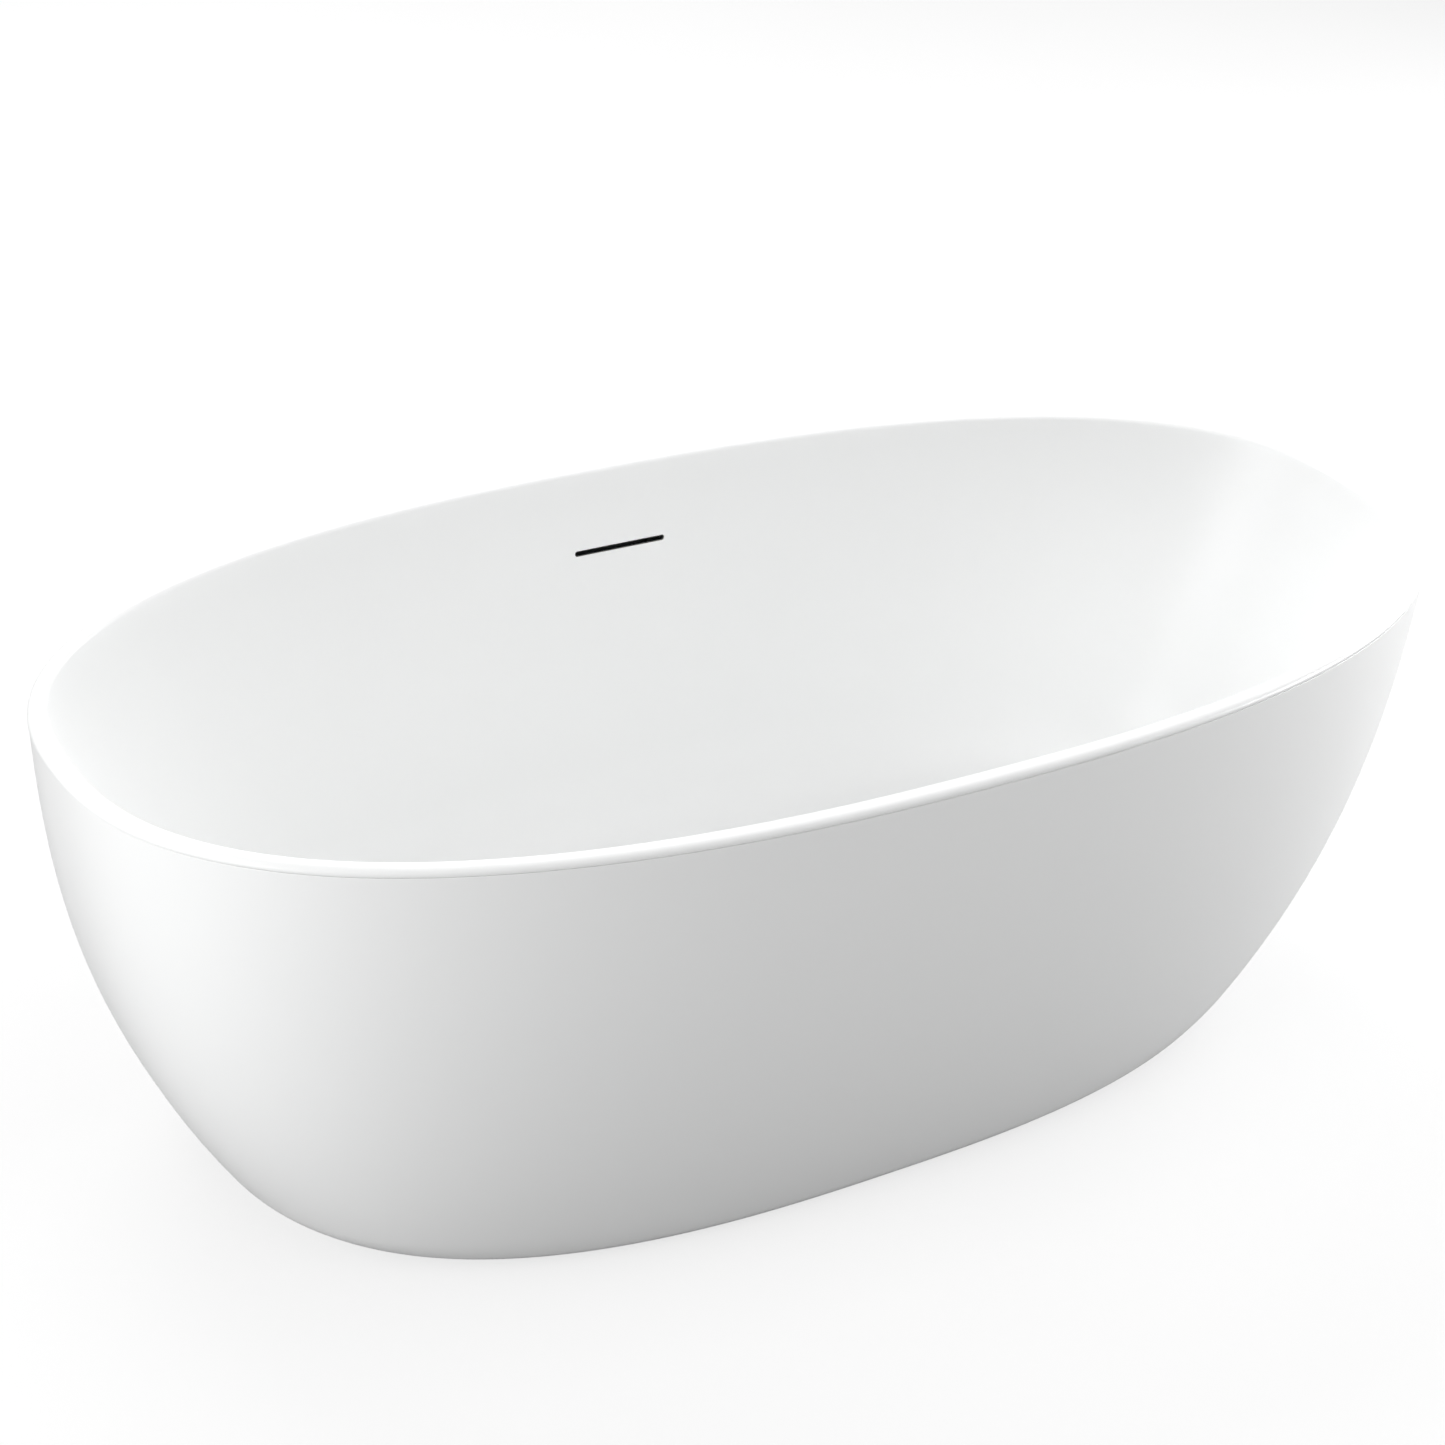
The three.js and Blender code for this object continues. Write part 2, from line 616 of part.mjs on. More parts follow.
// ---- Waste ---------------------------------------------------------------------------------------
const flangeLow = recessZ + WASTE_GASKET + 2 * GAP;
const wasteFlangeTop = flangeLow + WASTE_FLANGE_HEIGHT;
const wasteTubeEnd = wasteFlangeTop - WASTE_TUBE_LENGTH;
const wasteBore = WASTE_TUBE_RADIUS - WASTE_TUBE_WALL;
const collarTop = recessUnderside - WASTE_WALL - 2 * GAP;
const chamberBottom = portZ - SPOUT_RADIUS - WASTE_WALL * 2;
const outletBore = OUTLET_RADIUS - OUTLET_WALL;
const spigotBore = OUTLET_RADIUS + GAP;
const spigotRadius = spigotBore + OUTLET_WALL;
const spigotEnd = (chamberBottom + OUTLET_FLOOR_GAP) / 2;
const spiderTop = wasteTubeEnd + SPIDER_HEIGHT * 1.5;
const portEnd = WASTE_BODY_RADIUS + SPOUT_LENGTH;

const TURNED_SIDES = 20;
const SMALL_SIDES = 12;

function wasteFlangeGeometry() {
  const edge = WASTE_FLANGE_HEIGHT / 2;
  const shell = turned([
    [wasteBore, wasteTubeEnd],
    [WASTE_TUBE_RADIUS, wasteTubeEnd],
    [WASTE_TUBE_RADIUS, flangeLow],
    [WASTE_FLANGE_RADIUS, flangeLow],
    [WASTE_FLANGE_RADIUS, flangeLow + edge / 2],
    [WASTE_FLANGE_RADIUS - edge, wasteFlangeTop],
    [wasteBore + edge / 2, wasteFlangeTop],
    [wasteBore, wasteFlangeTop - edge],
  ], TURNED_SIDES);
  const low = spiderTop - SPIDER_HEIGHT;
  const arm = block(
    [-wasteBore - WASTE_TUBE_WALL / 2, -SPIDER_ARM / 2, low],
    [wasteBore + WASTE_TUBE_WALL / 2, SPIDER_ARM / 2, spiderTop],
  );
  const cross = arm.clone().rotateZ(Math.PI / 2);
  const boss = disc(SPIDER_BOSS_RADIUS, low, spiderTop, SMALL_SIDES);
  return cut(join(shell, arm, cross, boss), disc(CARTRIDGE_STUB + GAP, low - 1, spiderTop + 1, SMALL_SIDES));
}

const flangeGasketGeometry = () => (
  ring(WASTE_TUBE_RADIUS + GAP, WASTE_FLANGE_RADIUS - 1, recessZ + GAP, recessZ + GAP + WASTE_GASKET, TURNED_SIDES)
);

const bodyGasketGeometry = () => (
  ring(WASTE_TUBE_RADIUS + GAP, WASTE_COLLAR_RADIUS - 1, collarTop + GAP, recessUnderside - GAP, TURNED_SIDES)
);

// The chamber under the waste, with the overflow's port on its side and the outlet below.
function wasteBodyGeometry() {
  const chamberRadius = WASTE_BODY_RADIUS - WASTE_WALL;
  const chamberFloor = chamberBottom + WASTE_WALL;
  const roof = wasteTubeEnd + 12;
  const chamber = turned([
    [spigotBore, spigotEnd],
    [spigotRadius, spigotEnd],
    [spigotRadius, chamberBottom],
    [WASTE_BODY_RADIUS, chamberBottom],
    [WASTE_BODY_RADIUS, collarTop - WASTE_COLLAR_HEIGHT],
    [WASTE_COLLAR_RADIUS, collarTop - WASTE_COLLAR_HEIGHT],
    [WASTE_COLLAR_RADIUS, collarTop],
    [WASTE_TUBE_RADIUS + GAP, collarTop],
    [WASTE_TUBE_RADIUS + GAP, roof],
    [chamberRadius, roof - WASTE_WALL],
    [chamberRadius, chamberFloor],
    [spigotBore, chamberFloor],
  ], TURNED_SIDES);
  const port = (radius, near, far) => {
    const geometry = disc(radius, near, far, SMALL_SIDES);
    geometry.rotateX(-Math.PI / 2);
    geometry.translate(0, 0, portZ);
    return geometry;
  };
  const outer = join(chamber, port(SPOUT_RADIUS, chamberRadius + WASTE_WALL / 2, portEnd));
  return cut(outer, port(SPOUT_RADIUS - SPOUT_WALL, chamberRadius / 2, portEnd + 1));
}

const slipNutGeometry = () => turned([
  [OUTLET_RADIUS + GAP, spigotEnd - SLIP_NUT_HEIGHT / 2],
  [SLIP_NUT_RADIUS, spigotEnd - SLIP_NUT_HEIGHT / 2],
  [SLIP_NUT_RADIUS, spigotEnd + SLIP_NUT_HEIGHT / 2],
  [spigotRadius + GAP, spigotEnd + SLIP_NUT_HEIGHT / 2],
  [spigotRadius + GAP, spigotEnd - GAP],
  [OUTLET_RADIUS + GAP, spigotEnd - GAP],
], TURNED_SIDES);

const tailpieceGeometry = () => (
  ring(outletBore, OUTLET_RADIUS, OUTLET_FLOOR_GAP, chamberBottom + WASTE_WALL, TURNED_SIDES)
);

const plugLow = wasteFlangeTop + GAP;

const plugCapGeometry = () => {
  const dome = [1, 2, 3].map((step) => {
    const angle = step / 3 * Math.PI / 2;
    return [PLUG_RADIUS * Math.cos(angle), plugLow + PLUG_EDGE + PLUG_DOME * Math.sin(angle)];
  });
  dome[2][0] = 0;
  return turned([[0, plugLow], [PLUG_RADIUS, plugLow], [PLUG_RADIUS, plugLow + PLUG_EDGE], ...dome], TURNED_SIDES);
};

const plugSealGeometry = () => (
  ring(STEM_RADIUS + GAP, wasteBore - 1, plugLow - GAP - 3.6, plugLow - GAP, TURNED_SIDES)
);

// The stem's piston rests on the spring, which stands on the floor of the cartridge's bore.
const cartridgeTop = plugLow - GAP - 3.6 - 2;
const cartridgeLow = spiderTop + GAP;
const cartridgeFloor = cartridgeLow + 3;
const pistonLow = cartridgeTop - PLUG_TRAVEL - PISTON_HEIGHT - 2;

const stemGeometry = () => turned([
  [0, pistonLow],
  [PISTON_RADIUS, pistonLow],
  [PISTON_RADIUS, pistonLow + PISTON_HEIGHT],
  [STEM_RADIUS, pistonLow + PISTON_HEIGHT],
  [STEM_RADIUS, plugLow - GAP],
  [0, plugLow - GAP],
], SMALL_SIDES);

const cartridgeGeometry = () => turned([
  [0, spiderTop - SPIDER_HEIGHT],
  [CARTRIDGE_STUB, spiderTop - SPIDER_HEIGHT],
  [CARTRIDGE_STUB, cartridgeLow],
  [CARTRIDGE_RADIUS, cartridgeLow],
  [CARTRIDGE_RADIUS, cartridgeTop],
  [CARTRIDGE_BORE, cartridgeTop],
  [CARTRIDGE_BORE, cartridgeFloor],
  [0, cartridgeFloor],
], SMALL_SIDES);

class Helix extends THREE.Curve {
  constructor(radius, low, high, turns) {
    super();
    Object.assign(this, { radius, low, high, turns });
  }

  getPoint(share, target = new THREE.Vector3()) {
    const angle = share * this.turns * 2 * Math.PI;
    const height = mix(this.low, this.high, share);
    return target.set(this.radius * Math.cos(angle), this.radius * Math.sin(angle), height);
  }
}

function springGeometry() {
  const radius = PISTON_RADIUS - SPRING_WIRE;
  const inset = SPRING_WIRE + GAP;
  const coil = new Helix(radius, cartridgeFloor + inset, pistonLow - inset, SPRING_TURNS);
  const wire = new THREE.Shape().absarc(0, 0, SPRING_WIRE, 0, 2 * Math.PI);
  return new THREE.ExtrudeGeometry(wire, { steps: SPRING_TURNS * 7, extrudePath: coil, curveSegments: 3 });
}

// ---- Overflow --------------------------------------------------------------------------------------
const gasketNear = LINER_THICKNESS + GAP + 0.1;
const boxNear = gasketNear + OVERFLOW_GASKET + GAP;

// How far back the box may reach: to the skirt's inside behind its top edge.
const boxFar = (() => {
  const topEdge = overflowPoint(boxNear, OVERFLOW_BOX_HEIGHT / 2);
  const room = skirtStation(topEdge.z, SKIRT_THICKNESS).b - topEdge.y;
  return boxNear + (room - OVERFLOW_REAR_GAP) / Math.cos(overflowPlace.rotation.x);
})();
const clampInner = HOSE_RADIUS + 2 * GAP;
const clampOuter = clampInner + CLAMP_BAND;
const spoutY = LINER_THICKNESS + clampOuter + 2 * GAP;
const spoutTop = -OVERFLOW_BOX_HEIGHT / 2;

function ringOutline(length, height, wall) {
  const outline = roundEnded(length, height);
  outline.holes.push(new THREE.Path(roundEnded(length - 2 * wall, height - 2 * wall).getPoints(5).reverse()));
  return outline;
}

const trimGeometry = () => extrudedBack(ringOutline(TRIM_LENGTH, TRIM_HEIGHT, TRIM_WALL), GAP, LINER_THICKNESS);

function overflowGasketGeometry() {
  const margin = (OVERFLOW_BOX_HEIGHT - TRIM_HEIGHT) / 2 - GAP;
  const outline = ringOutline(TRIM_LENGTH + 2 * margin, OVERFLOW_BOX_HEIGHT - 1, margin);
  return extrudedBack(outline, gasketNear, gasketNear + OVERFLOW_GASKET);
}

function spoutCylinder(radius, near, far, sides) {
  const geometry = disc(radius, spoutTop - far, spoutTop - near, sides);
  geometry.translate(0, spoutY, 0);
  return geometry;
}

function overflowBoxGeometry() {
  const halfX = OVERFLOW_BOX_LENGTH / 2;
  const halfZ = OVERFLOW_BOX_HEIGHT / 2;
  const wall = OVERFLOW_BOX_WALL;
  const outside = block([-halfX, boxNear, -halfZ], [halfX, boxFar, halfZ]);
  const inside = block([-halfX + wall, boxNear + wall, -halfZ + wall], [halfX - wall, boxFar - wall, halfZ - wall]);
  const mouth = extrudedBack(roundEnded(TRIM_LENGTH, TRIM_HEIGHT + 4), boxNear - 1, boxNear + wall + 1);
  const spout = spoutCylinder(SPOUT_RADIUS, -wall / 2, SPOUT_LENGTH, SMALL_SIDES);
  const bore = spoutCylinder(SPOUT_RADIUS - SPOUT_WALL, -wall - 1, SPOUT_LENGTH + 1, SMALL_SIDES);
  return cut(join(outside, spout), inside, mouth, bore);
}

// The hose's middle line: out of the spout, down between the two skins, then in to the waste's port.
function hoseCurve() {
  const onSpout = [GAP, SPOUT_LENGTH / 2, SPOUT_LENGTH, SPOUT_LENGTH * 1.4].map(
    (drop) => overflowPoint(spoutY, spoutTop - drop),
  );
  const straight = onSpout[3];
  const turnZ = wellEdge + SIDE_TURN_RADIUS / 2;
  const between = (share) => {
    const z = mix(straight.z, turnZ, share);
    const inside = skirtStation(z, SKIRT_THICKNESS).b;
    return new THREE.Vector3(0, (sideWall.reach(z, LINER_THICKNESS) + inside) / 2, z);
  };
  const low = between(1);
  const bend = low.z - portZ;
  const corner = [0.25, 0.5, 0.75].map((share) => {
    const angle = share * Math.PI / 2;
    return new THREE.Vector3(0, low.y - bend * (1 - Math.cos(angle)), low.z - bend * Math.sin(angle));
  });
  const flat = new THREE.Vector3(0, low.y - bend, portZ);
  const end = new THREE.Vector3(0, WASTE_BODY_RADIUS + GAP, portZ);
  const approach = flat.clone().lerp(end, 0.5);
  return new THREE.CatmullRomCurve3(
    [...onSpout, between(0.35), between(0.7), low, ...corner, flat, approach, end],
    false,
    'centripetal',
  );
}

function hoseGeometry() {
  const section = new THREE.Shape().absarc(0, 0, HOSE_RADIUS, 0, 2 * Math.PI);
  section.holes.push(new THREE.Path().absarc(0, 0, HOSE_RADIUS - HOSE_WALL, 0, 2 * Math.PI, true));
  return new THREE.ExtrudeGeometry(section, { steps: HOSE_STEPS, extrudePath: hoseCurve(), curveSegments: 6 });
}

// A band round the hose with its worm screw's housing on the side, about Z.
function clampGeometry() {
  const half = CLAMP_WIDTH / 2;
  const band = ring(clampInner, clampOuter, -half, half, TURNED_SIDES);
  const housing = block([clampInner + CLAMP_BAND / 4, -6, -half + 1], [clampOuter + 6, 6, half - 1]);
  return join(band, housing);
}

// ---- Assembly ----------------------------------------------------------------------------------------
const finish = (color, roughness, metalness) => new THREE.MeshStandardMaterial({ color, roughness, metalness });

const acrylic = () => finish('#f3f4f3', 0.12, 0);
const chrome = () => finish('#d7dadd', 0.08, 1);
const zinc = () => finish('#b4b8ba', 0.4, 0.9);
const rubber = () => finish('#202122', 0.8, 0);
const blackPlastic = () => finish('#26282a', 0.5, 0);
const greyPlastic = () => finish('#8d9194', 0.45, 0);

const tub = new THREE.Group();

function place(name, geometry, material, parent = tub) {
  const mesh = new THREE.Mesh(geometry, material);
  mesh.name = name;
  parent.add(mesh);
  return mesh;
}

function addSkins() {
  place('liner', linerGeometry(), acrylic());
  place('skirt', skirtGeometry(), acrylic());
  place('rim_bond', bondGeometry(), finish('#d9d6cc', 0.6, 0));
}

function addFrame() {
  place('base_board', boardGeometry(), finish('#b99b6b', 0.75, 0));
  place('rail_near', railGeometry(-1), zinc());
  place('rail_far', railGeometry(1), zinc());
  place('cross_bar_left', barGeometry(-1), zinc());
  place('cross_bar_right', barGeometry(1), zinc());
  screwPlaces.forEach(({ x, y, low }, index) => {
    const shank = boardBottom + SCREW_BITE - low;
    place(`frame_screw_${index + 1}`, screwGeometry(shank), zinc()).position.set(x, y, low);
  });
}

function addFeet() {
  let number = 0;
  for (const end of barSigns) {
    for (const side of railSigns) {
      number += 1;
      const foot = new THREE.Group();
      foot.position.set(end * footX, side * footY, 0);
      tub.add(foot);
      place(`foot_pad_${number}`, padGeometry(), blackPlastic(), foot);
      place(`foot_stud_${number}`, studGeometry(), zinc(), foot);
      place(`weld_nut_${number}`, nutGeometry(), zinc(), foot).position.z = barTop + GAP;
      place(`lock_nut_${number}`, nutGeometry(), zinc(), foot).position.z = barBottom - GAP - NUT_HEIGHT;
      addBracket(number, end, side);
    }
  }
}

function addBracket(number, end, side) {
  const corner = new THREE.Group();
  corner.position.x = end * footX;
  corner.rotation.z = side > 0 ? 0 : Math.PI;
  tub.add(corner);
  place(`skirt_bracket_${number}`, cut(bracketGeometry(), bracketHole(0, 1)), zinc(), corner);
  const screw = place(`skirt_screw_${number}`, skirtScrewGeometry(), zinc(), corner);
  screw.position.set(0, bracketScrewY, flangeTop + GAP + BRACKET_THICKNESS);
}

function addWaste() {
  place('waste_flange', wasteFlangeGeometry(), chrome());
  place('waste_flange_gasket', flangeGasketGeometry(), rubber());
  place('waste_body_gasket', bodyGasketGeometry(), rubber());
  place('waste_body', wasteBodyGeometry(), greyPlastic());
  place('slip_nut', slipNutGeometry(), greyPlastic());
  place('tailpiece', tailpieceGeometry(), greyPlastic());
  place('plug_cap', plugCapGeometry(), chrome());
  place('plug_seal', plugSealGeometry(), rubber());
  place('plug_stem', stemGeometry(), chrome());
  place('plug_cartridge', cartridgeGeometry(), finish('#b08d4f', 0.35, 1));
  place('plug_spring', springGeometry(), zinc());
}

function addOverflow() {
  tub.add(overflowPlace);
  place('overflow_trim', trimGeometry(), finish('#1b1c1d', 0.35, 0.4), overflowPlace);
  place('overflow_gasket', overflowGasketGeometry(), rubber(), overflowPlace);
  place('overflow_box', overflowBoxGeometry(), greyPlastic(), overflowPlace);
  place('overflow_hose', hoseGeometry(), greyPlastic());
  const upper = place('hose_clamp_upper', clampGeometry(), zinc(), overflowPlace);
  upper.position.set(0, spoutY, spoutTop - SPOUT_LENGTH / 2);
  const lower = place('hose_clamp_lower', clampGeometry(), zinc());
  lower.rotation.x = Math.PI / 2;
  lower.position.set(0, (WASTE_BODY_RADIUS + portEnd) / 2, portZ);
}

addSkins();
addFrame();
addFeet();
addWaste();
addOverflow();

export default tub;
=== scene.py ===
"""Dresses a freestanding double-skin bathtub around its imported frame.

Sizes are millimetres in the same places as the frame, and every mesh is made in metres.
+Z is up, +X runs along the tub and +Y points to the long side that has the overflow.
"""

import logging
import math
from dataclasses import dataclass, field
from enum import Enum
from typing import Callable, Container, Iterable, Optional, Sequence

import bmesh
import bpy
from mathutils import Matrix, Vector

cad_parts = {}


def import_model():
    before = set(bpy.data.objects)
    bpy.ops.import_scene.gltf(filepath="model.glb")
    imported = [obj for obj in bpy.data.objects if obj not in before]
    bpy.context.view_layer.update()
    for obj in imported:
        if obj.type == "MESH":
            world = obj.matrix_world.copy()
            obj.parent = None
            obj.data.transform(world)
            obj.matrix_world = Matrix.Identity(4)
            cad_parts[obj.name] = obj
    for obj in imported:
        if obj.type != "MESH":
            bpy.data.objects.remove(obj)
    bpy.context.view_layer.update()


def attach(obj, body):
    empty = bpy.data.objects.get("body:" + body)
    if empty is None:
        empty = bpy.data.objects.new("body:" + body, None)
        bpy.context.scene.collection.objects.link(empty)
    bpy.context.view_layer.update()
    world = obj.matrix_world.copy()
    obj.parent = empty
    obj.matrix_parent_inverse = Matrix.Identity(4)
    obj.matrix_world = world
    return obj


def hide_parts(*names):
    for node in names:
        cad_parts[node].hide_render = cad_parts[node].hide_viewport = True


log = logging.getLogger("bathtub")

MM = 0.001
WHITE = (1.0, 1.0, 1.0)

Colour = tuple[float, float, float]
Point2 = tuple[float, float]
Point3 = tuple[float, float, float]
Material = bpy.types.Material
Mesh = bpy.types.Mesh
Node = bpy.types.Node
NodeTree = bpy.types.NodeTree
Socket = bpy.types.NodeSocket


# ---- Node trees ----


def socket_named(sockets: Iterable[Socket], name: str) -> Socket:
    """The first socket in use that has a name."""
    return next(socket for socket in sockets if socket.name == name and socket.enabled)


@dataclass(frozen=True)
class Number:
    """A number in a node tree that arithmetic can be written with."""

    maker: "NodeMaker"
    source: Socket

    def math(self, operation: str, *others: "Number | float") -> "Number":
        """Adds a Math node.

        Args:
            operation: The Math node's operation.
            others: The numbers after this one.

        Returns:
            The result.
        """
        node = self.maker.add("ShaderNodeMath", operation=operation)
        for target, value in zip(node.inputs, (self, *others)):
            self.maker.put(target, value)
        return Number(self.maker, node.outputs[0])

    def __add__(self, other: "Number | float") -> "Number":
        """Sum."""
        return self.math("ADD", other)

    def __sub__(self, other: "Number | float") -> "Number":
        """Difference."""
        return self.math("SUBTRACT", other)

    def __mul__(self, other: "Number | float") -> "Number":
        """Product."""
        return self.math("MULTIPLY", other)

    def __truediv__(self, other: "Number | float") -> "Number":
        """Quotient."""
        return self.math("DIVIDE", other)

    def __mod__(self, other: "Number | float") -> "Number":
        """Remainder."""
        return self.math("FLOORED_MODULO", other)

    def __pow__(self, other: "Number | float") -> "Number":
        """Power."""
        return self.math("POWER", other)


class NodeMaker:
    """Adds nodes to a tree, fills their inputs and links them."""

    def __init__(self, tree: NodeTree) -> None:
        """Starts on a tree."""
        self.tree = tree

    def add(self, kind: str, **settings: object) -> Node:
        """Adds a node.

        Args:
            kind: The node's type.
            settings: Its properties.

        Returns:
            The node.
        """
        node = self.tree.nodes.new(kind)
        for name, value in settings.items():
            setattr(node, name, value)
        return node

    def put(self, target: Socket, value: object) -> None:
        """Links a source to a socket, or sets the socket's own value."""
        if isinstance(value, Number):
            value = value.source
        if isinstance(value, Socket):
            self.tree.links.new(value, target)
        else:
            target.default_value = value

    def chain(self, kind: str, settings: Optional[dict] = None, **inputs: object) -> Node:
        """Adds a node with its inputs filled.

        Args:
            kind: The node's type.
            settings: Its properties.
            inputs: Values by socket name, with _ for a space.

        Returns:
            The node.
        """
        node = self.add(kind, **(settings or {}))
        for name, value in inputs.items():
            self.put(socket_named(node.inputs, name.replace("_", " ")), value)
        return node

    def vector(self, x: object, y: object, z: object) -> Socket:
        """Three numbers as one vector."""
        return self.chain("ShaderNodeCombineXYZ", X=x, Y=y, Z=z).outputs[0]

    def blend(self, share: object, first: Node, last: Node) -> Node:
        """A share of the second shader over the first."""
        node = self.add("ShaderNodeMixShader")
        for target, value in zip(node.inputs, (share, first.outputs[0], last.outputs[0])):
            self.put(target, value)
        return node


class TreeMaker(NodeMaker):
    """Makes one node tree, for geometry or for a shader group."""

    def __init__(self, name: str, kind: str) -> None:
        """Starts an empty tree of a kind under a name."""
        super().__init__(bpy.data.node_groups.new(name, kind))
        self.start = self.add("NodeGroupInput")
        self.end = self.add("NodeGroupOutput")

    def takes(self, name: str, kind: str, default: object = None) -> Socket:
        """Adds a named input.

        Args:
            name: The input's name.
            kind: The socket's kind, such as Float.
            default: Its value where nothing is put in.

        Returns:
            The input, as a source inside the tree.
        """
        item = self.tree.interface.new_socket(name, in_out="INPUT", socket_type=f"NodeSocket{kind}")
        if default is not None:
            item.default_value = default
        return socket_named(self.start.outputs, name)

    def number(self, name: str, default: float = 0.0, kind: str = "Float") -> Number:
        """Adds a number input, with its usual value."""
        return Number(self, self.takes(name, kind, default))

    def step(self, kind: str, settings: Optional[dict] = None, **inputs: object) -> Socket:
        """Adds a geometry node with its inputs filled, and gives its first output in use."""
        node = self.chain(f"GeometryNode{kind}", settings, **inputs)
        return next(socket for socket in node.outputs if socket.enabled)

    def gives(self, name: str, kind: str, source: object) -> None:
        """Adds a named output and fills it."""
        self.tree.interface.new_socket(name, in_out="OUTPUT", socket_type=f"NodeSocket{kind}")
        self.put(socket_named(self.end.inputs, name), source)


class GridPlace:
    """A grid of rows and turns in a tree, and where each of its points stands."""

    def __init__(self, maker: TreeMaker, sides: Number, rows: Number) -> None:
        """Adds the grid.

        Args:
            maker: The tree.
            sides: How many steps go round.
            rows: How many rows go along.
        """
        self.grid = maker.step("MeshGrid", Vertices_X=sides + 1.0, Vertices_Y=rows)
        self.index = Number(maker, maker.step("InputIndex"))
        self.row = self.index % rows
        self.turn = (self.index / rows).math("FLOOR") / sides
        self.angle = self.turn * math.tau


def finish_tree(maker: TreeMaker, shape: Socket) -> NodeTree:
    """Ends a geometry tree with smooth faces and real geometry.

    Args:
        maker: The tree in the making.
        shape: The geometry so far.

    Returns:
        The tree.
    """
    smooth = maker.step("SetShadeSmooth", Geometry=shape)
    maker.gives("Geometry", "Geometry", maker.step("RealizeInstances", Geometry=smooth))
    return maker.tree


def oval_tree() -> NodeTree:
    """Sweeps a section round an oval.

    The section's points hold half-length, half-width and height, and the power that squares the oval.

    Returns:
        The tree.
    """
    maker = TreeMaker("oval_sweep", "GeometryNodeTree")
    section = maker.takes("Geometry", "Geometry")
    sides = maker.number("Sides", 192, "Int")
    front = maker.number("Front Rows", 100000, "Int")
    face = maker.takes("Face", "Material")
    back = maker.takes("Back", "Material")
    rows = Number(maker, maker.step("AttributeDomainSize", {"component": "MESH"}, Geometry=section))
    place = GridPlace(maker, sides, rows)
    marked = maker.step(
        "StoreNamedAttribute", {"data_type": "FLOAT", "domain": "FACE"},
        Geometry=place.grid, Name="front", Value=(place.index % (rows - 1.0)).math("LESS_THAN", front),
    )
    reach = maker.step(
        "SampleIndex", {"data_type": "FLOAT_VECTOR"},
        Geometry=section, Value=maker.step("InputPosition"), Index=place.row,
    )
    power = maker.step(
        "SampleIndex", {"data_type": "FLOAT"}, Geometry=section,
        Value=maker.step("InputNamedAttribute", {"data_type": "FLOAT"}, Name="power"), Index=place.row,
    )
    split = maker.chain("ShaderNodeSeparateXYZ", Vector=reach)
    exponent = Number(maker, power) ** -1.0 * 2.0
    axes = []
    for operation, half in (("COSINE", split.outputs[0]), ("SINE", split.outputs[1])):
        wave = place.angle.math(operation)
        axes.append(wave.math("ABSOLUTE") ** exponent * wave.math("SIGN") * Number(maker, half))
    moved = maker.step("SetPosition", Geometry=marked, Position=maker.vector(*axes, split.outputs[2]))
    closed = maker.step("MergeByDistance", Geometry=moved, Distance=1e-6)
    backed = maker.step("SetMaterial", Geometry=closed, Material=back)
    in_front = maker.step("InputNamedAttribute", {"data_type": "FLOAT"}, Name="front")
    return finish_tree(maker, maker.step("SetMaterial", Geometry=backed, Selection=in_front, Material=face))


def thread_tree() -> NodeTree:
    """Cuts a screw thread on a round bar with chamfered, closed ends.

    Returns:
        The tree.
    """
    maker = TreeMaker("screw_thread", "GeometryNodeTree")
    maker.takes("Geometry", "Geometry")
    sides = maker.number("Sides", 24, "Int")
    radius = maker.number("Radius", 0.006)
    depth = maker.number("Depth", 0.0007)
    pitch = maker.number("Pitch", 0.00175)
    low = maker.number("Low")
    high = maker.number("High", 0.1)
    rows = ((high - low) / pitch * 6.0).math("ROUND")
    place = GridPlace(maker, sides, rows)
    height = low + (high - low) * place.row / (rows - 1.0)
    phase = ((height / pitch) - place.turn).math("FRACT")
    ramp = (phase * 2.0 - 1.0).math("ABSOLUTE") * 1.5 - 0.25
    flank = ramp.math("MINIMUM", 1.0).math("MAXIMUM", 0.0)
    to_end = (height - low).math("MINIMUM", high - height)
    ground = (radius - depth * flank).math("MINIMUM", radius * 0.72 + to_end)
    reach = ground * to_end.math("GREATER_THAN", 1e-7)
    spot = maker.vector(reach * place.angle.math("COSINE"), reach * place.angle.math("SINE"), height)
    moved = maker.step("SetPosition", Geometry=place.grid, Position=spot)
    return finish_tree(maker, maker.step("MergeByDistance", Geometry=moved, Distance=1e-6))


